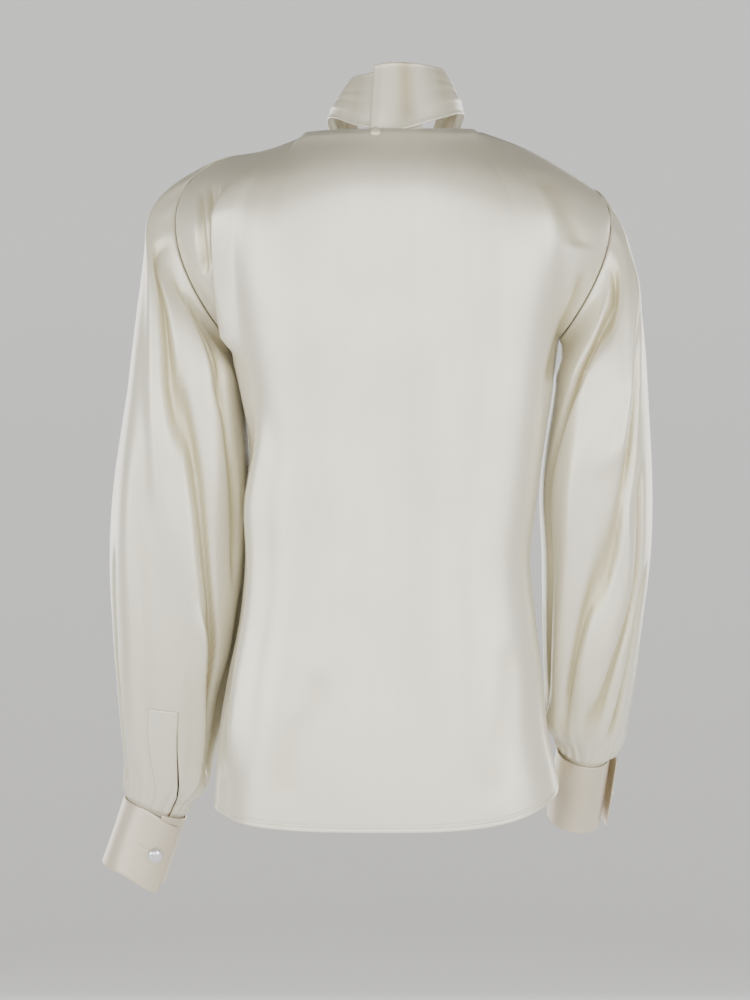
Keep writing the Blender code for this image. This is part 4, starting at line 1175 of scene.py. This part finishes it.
# Pieces ----------------------------------------------------------------------


class PieceOperator:
    bl_options = {"REGISTER", "UNDO"}

    @property
    def sizes(self):
        return bpy.context.scene.blouse_sizes


class BLOUSE_OT_panels(PieceOperator, bpy.types.Operator):
    """Make the blouse's front and back"""

    bl_idname = "blouse.panels"
    bl_label = "Front and back"

    def execute(self, context):
        for face, cut in (("back", (0.52, 0.70)), ("front", (0.52, 0.70))):
            grid, flat, hollow = panel_grid(face, self.sizes)
            piece = grid_object(f"blouse_{face}", grid, flat, satin(), hollow=hollow)
            thicken(piece, self.sizes.cloth, shaded_inside_satin())
            settle(piece, f"{face}_panel", "ivory_satin")
        return {"FINISHED"}


class BLOUSE_OT_sleeves(PieceOperator, bpy.types.Operator):
    """Make the full sleeves and the placket beside each slit"""

    bl_idname = "blouse.sleeves"
    bl_label = "Sleeves and plackets"

    def execute(self, context):
        for side in SIDES:
            grid, flat, hollow, first = sleeve_grid(side, self.sizes)
            points = mirrored(side, grid)
            normals = grid_normals(grid)
            if side == "right":
                points, flat, hollow = points[:, ::-1], flat[:, ::-1], hollow[:, ::-1]
            piece = grid_object(
                f"blouse_sleeve_{side}", points, flat, satin(), first + 1, hollow
            )
            thicken(piece, self.sizes.cloth, shaded_inside_satin())
            settle(piece, f"sleeve_{side}", "ivory_satin")
            self.placket(side, grid, normals, first)
        return {"FINISHED"}

    def placket(self, side, grid, normals, first):
        """The strip lies on the sleeve's own points, moved out."""
        above = PLACKET_ROWS_ABOVE
        rows = slice(first - above, grid.shape[0] - 1)
        columns = slice(0, PLACKET_COLUMNS + 1)
        strip = grid[rows, columns] + normals[rows, columns] * PLACKET_LIFT
        run, far = edge_distance(strip)
        edge = np.minimum(run, far)
        stitched = bump(np.arange(len(strip))[:, None] - above, 0.7)
        dip = PLACKET_EDGE * (bump(edge, 0.0012) + stitched)
        strip = strip - normals[rows, columns] * dip[..., None]
        flat = np.stack([run, 0 * run + np.arange(len(run))[:, None] * 0.003], axis=-1)
        points = mirrored(side, strip)
        if side == "right":
            points, flat = points[:, ::-1], flat[:, ::-1]
        piece = grid_object(f"blouse_placket_{side}", points, flat, satin())
        thicken(piece, self.sizes.placket_cloth)
        settle(piece, f"placket_{side}", "ivory_satin")


class BLOUSE_OT_cuffs(PieceOperator, bpy.types.Operator):
    """Make the buttoned cuffs"""

    bl_idname = "blouse.cuffs"
    bl_label = "Cuffs"

    def execute(self, context):
        for side in SIDES:
            grid, flat = cuff_grid(side, self.sizes)
            points = mirrored(side, grid)
            if side == "right":
                points, flat = points[:, ::-1], flat[:, ::-1]
            piece = grid_object(f"blouse_cuff_{side}", points, flat, smooth_satin())
            thicken(piece, self.sizes.cuff_cloth, shaded_inside_satin())
            settle(piece, f"cuff_{side}", "ivory_satin")
        return {"FINISHED"}


class BLOUSE_OT_buttons(PieceOperator, bpy.types.Operator):
    """Give the buttons their finish"""

    bl_idname = "blouse.buttons"
    bl_label = "Buttons"

    def execute(self, context):
        colour = tuple(context.scene.blouse_colours.crystal)
        crystal = finish_named("Crystal", lambda: crystal_material(colour))
        for node in ("cuff_button_left", "cuff_button_right"):
            bpy.data.objects[node].data.materials.clear()
            bpy.data.objects[node].data.materials.append(crystal)
        bpy.data.objects["nape_button"].data.materials.clear()
        bpy.data.objects["nape_button"].data.materials.append(smooth_satin())
        return {"FINISHED"}


class BLOUSE_OT_scarf(PieceOperator, bpy.types.Operator):
    """Make the neck scarf, its knot and its two ends"""

    bl_idname = "blouse.scarf"
    bl_label = "Scarf"

    def execute(self, context):
        for side in SIDES:
            grid, flat, hollow = scarf_stretch(side)
            if side == "left":
                grid, flat, hollow = grid[:, ::-1], flat[:, ::-1], hollow[:, ::-1]
            piece = grid_object(f"blouse_scarf_{side}", grid, flat, satin(), hollow=hollow)
            thicken(piece, self.sizes.scarf_cloth)
            settle(piece, f"scarf_neck_{side}", "ivory_satin")
            grid, flat = scarf_end(side)
            if side == "left":
                grid, flat = grid[:, ::-1], flat[:, ::-1]
            piece = grid_object(f"blouse_scarf_end_{side}", grid, flat, smooth_satin())
            thicken(piece, self.sizes.scarf_cloth)
            settle(piece, f"scarf_end_{side}", "ivory_satin")
        grid = knot_grid()
        flat = grid[..., :2]
        piece = grid_object("blouse_scarf_knot", grid, flat, smooth_satin(), len(grid))
        close_poles(piece)
        settle(piece, "scarf_knot", "ivory_satin")
        return {"FINISHED"}


# Stage -----------------------------------------------------------------------

FLOOR = -1.45  # under the wearer's feet
PAPER_GLOW = 0.75  # the paper is lit from behind
STUDIO = 7.0  # radius of the flat floor
CAMERA_AT = (0.014, 3.5, -0.347)
CAMERA_REACH = 3.4  # from the camera to the back of the blouse
VIEW_HEIGHT = 0.947  # seen there
LIGHT_HEIGHT = 2.0
# name, place, width, power
LIGHTS = [
    ("Key", (-2.9, 3.2, 0.10), 3.0, 90.0),
    ("Fill", (2.9, 3.2, 0.10), 3.0, 90.0),
    ("Back", (0.0, 4.4, 0.10), 3.0, 82.0),
    ("Front key", (2.9, -3.2, 0.10), 3.0, 65.0),
    ("Front fill", (-2.9, -3.2, 0.10), 3.0, 65.0),
    ("Front", (0.0, -4.4, 0.10), 3.0, 65.0),
]
LIGHT_COLOUR = (0.99, 0.995, 1.0)
SKY_COLOUR = (1.0, 0.85, 0.55, 1.0)
SKY_STRENGTH = 0.14
AIM = (0.0, 0.0, -0.35)  # the lamps face the middle of the blouse
MIDDLE = 2.0  # radius of the flat middle of the floor
WALL_BEND = 2.0  # radius of the floor's curve up into the wall
WALL_HEIGHT = 4.0


class BLOUSE_OT_stage(PieceOperator, bpy.types.Operator):
    """Set up the studio floor, the lights and the camera"""

    bl_idname = "blouse.stage"
    bl_label = "Studio"

    def execute(self, context):
        scene = context.scene
        self.floor(tuple(scene.blouse_colours.paper))
        self.lights()
        camera = bpy.data.objects.new("Camera", bpy.data.cameras.new("Camera"))
        scene.collection.objects.link(camera)
        camera.location = CAMERA_AT
        camera.rotation_euler = (math.pi / 2, 0.0, math.pi)
        camera.data.sensor_fit = "VERTICAL"
        camera.data.sensor_height = 24.0
        camera.data.lens = 24.0 * CAMERA_REACH / VIEW_HEIGHT
        camera.data.clip_end = 100.0
        scene.camera = camera
        return {"FINISHED"}

    def floor(self, colour):
        """A round paper floor that curves up into a low wall, turned from a profile."""
        bend = np.radians(np.linspace(0, 90, 25))
        radius = np.concatenate([[0.0, 2.0, 4.0], STUDIO + WALL_BEND * np.sin(bend), [STUDIO + WALL_BEND]])
        rise = np.concatenate([[0.0, 0.0, 0.0], WALL_BEND - WALL_BEND * np.cos(bend), [WALL_HEIGHT]])
        rise = rise + FLOOR
        around = np.linspace(0, 2 * math.pi, 97)[:, None]
        grid = np.stack([
            radius * np.cos(around), radius * np.sin(around), rise + 0 * around
        ], axis=-1)[:, 1:]
        piece = grid_object("studio_floor", grid, grid[..., :2], floor_material(colour))
        middle = bpy.data.meshes.new("studio_middle")
        angles = np.linspace(0, 2 * math.pi, 97)[:-1]
        ring = np.stack(
            [MIDDLE * np.cos(angles), MIDDLE * np.sin(angles), 0 * angles + FLOOR], axis=-1
        )
        middle.from_pydata(ring.tolist(), [], [list(range(96))])
        middle.materials.append(piece.data.materials[0])
        disc = bpy.data.objects.new("studio_middle", middle)
        bpy.context.scene.collection.objects.link(disc)

    def lights(self):
        world = bpy.data.worlds.new("Studio")
        bpy.context.scene.world = world
        world.use_nodes = True
        sky = world.node_tree.nodes["Background"]
        sky.inputs["Color"].default_value = SKY_COLOUR
        sky.inputs["Strength"].default_value = SKY_STRENGTH
        for name, place, size, power in LIGHTS:
            lamp = bpy.data.lights.new(name, "AREA")
            lamp.shape = "RECTANGLE"
            lamp.size, lamp.size_y = size, LIGHT_HEIGHT
            lamp.energy = power
            lamp.color = LIGHT_COLOUR
            holder = bpy.data.objects.new(name, lamp)
            holder.location = place
            aim = Vector(AIM) - Vector(place)
            holder.rotation_euler = aim.to_track_quat("-Z", "Y").to_euler()
            bpy.context.scene.collection.objects.link(holder)


class BLOUSE_PT_panel(bpy.types.Panel):
    """Lists the blouse's pieces, sizes and colours"""

    bl_idname = "BLOUSE_PT_panel"
    bl_label = "Blouse"
    bl_space_type = "VIEW_3D"
    bl_region_type = "UI"
    bl_category = "Blouse"

    def draw(self, context):
        for operator in OPERATORS:
            self.layout.operator(operator.bl_idname)
        for settings in (context.scene.blouse_sizes, context.scene.blouse_colours):
            for name in settings.bl_rna.properties.keys():
                if name not in {"rna_type", "name"}:
                    self.layout.prop(settings, name)


OPERATORS = (
    BLOUSE_OT_panels,
    BLOUSE_OT_sleeves,
    BLOUSE_OT_cuffs,
    BLOUSE_OT_scarf,
    BLOUSE_OT_buttons,
    BLOUSE_OT_stage,
)
CLASSES = (BlouseSizes, BlouseColours, *OPERATORS, BLOUSE_PT_panel)


def register():
    for item in CLASSES:
        bpy.utils.register_class(item)
    bpy.types.Scene.blouse_sizes = bpy.props.PointerProperty(type=BlouseSizes)
    bpy.types.Scene.blouse_colours = bpy.props.PointerProperty(type=BlouseColours)


def unregister():
    del bpy.types.Scene.blouse_colours
    del bpy.types.Scene.blouse_sizes
    for item in reversed(CLASSES):
        bpy.utils.unregister_class(item)


def main():
    register()
    bpy.ops.blouse.panels()
    bpy.ops.blouse.sleeves()
    bpy.ops.blouse.cuffs()
    bpy.ops.blouse.scarf()
    bpy.ops.blouse.buttons()
    bpy.ops.blouse.stage()


if __name__ == "__main__":
    main()
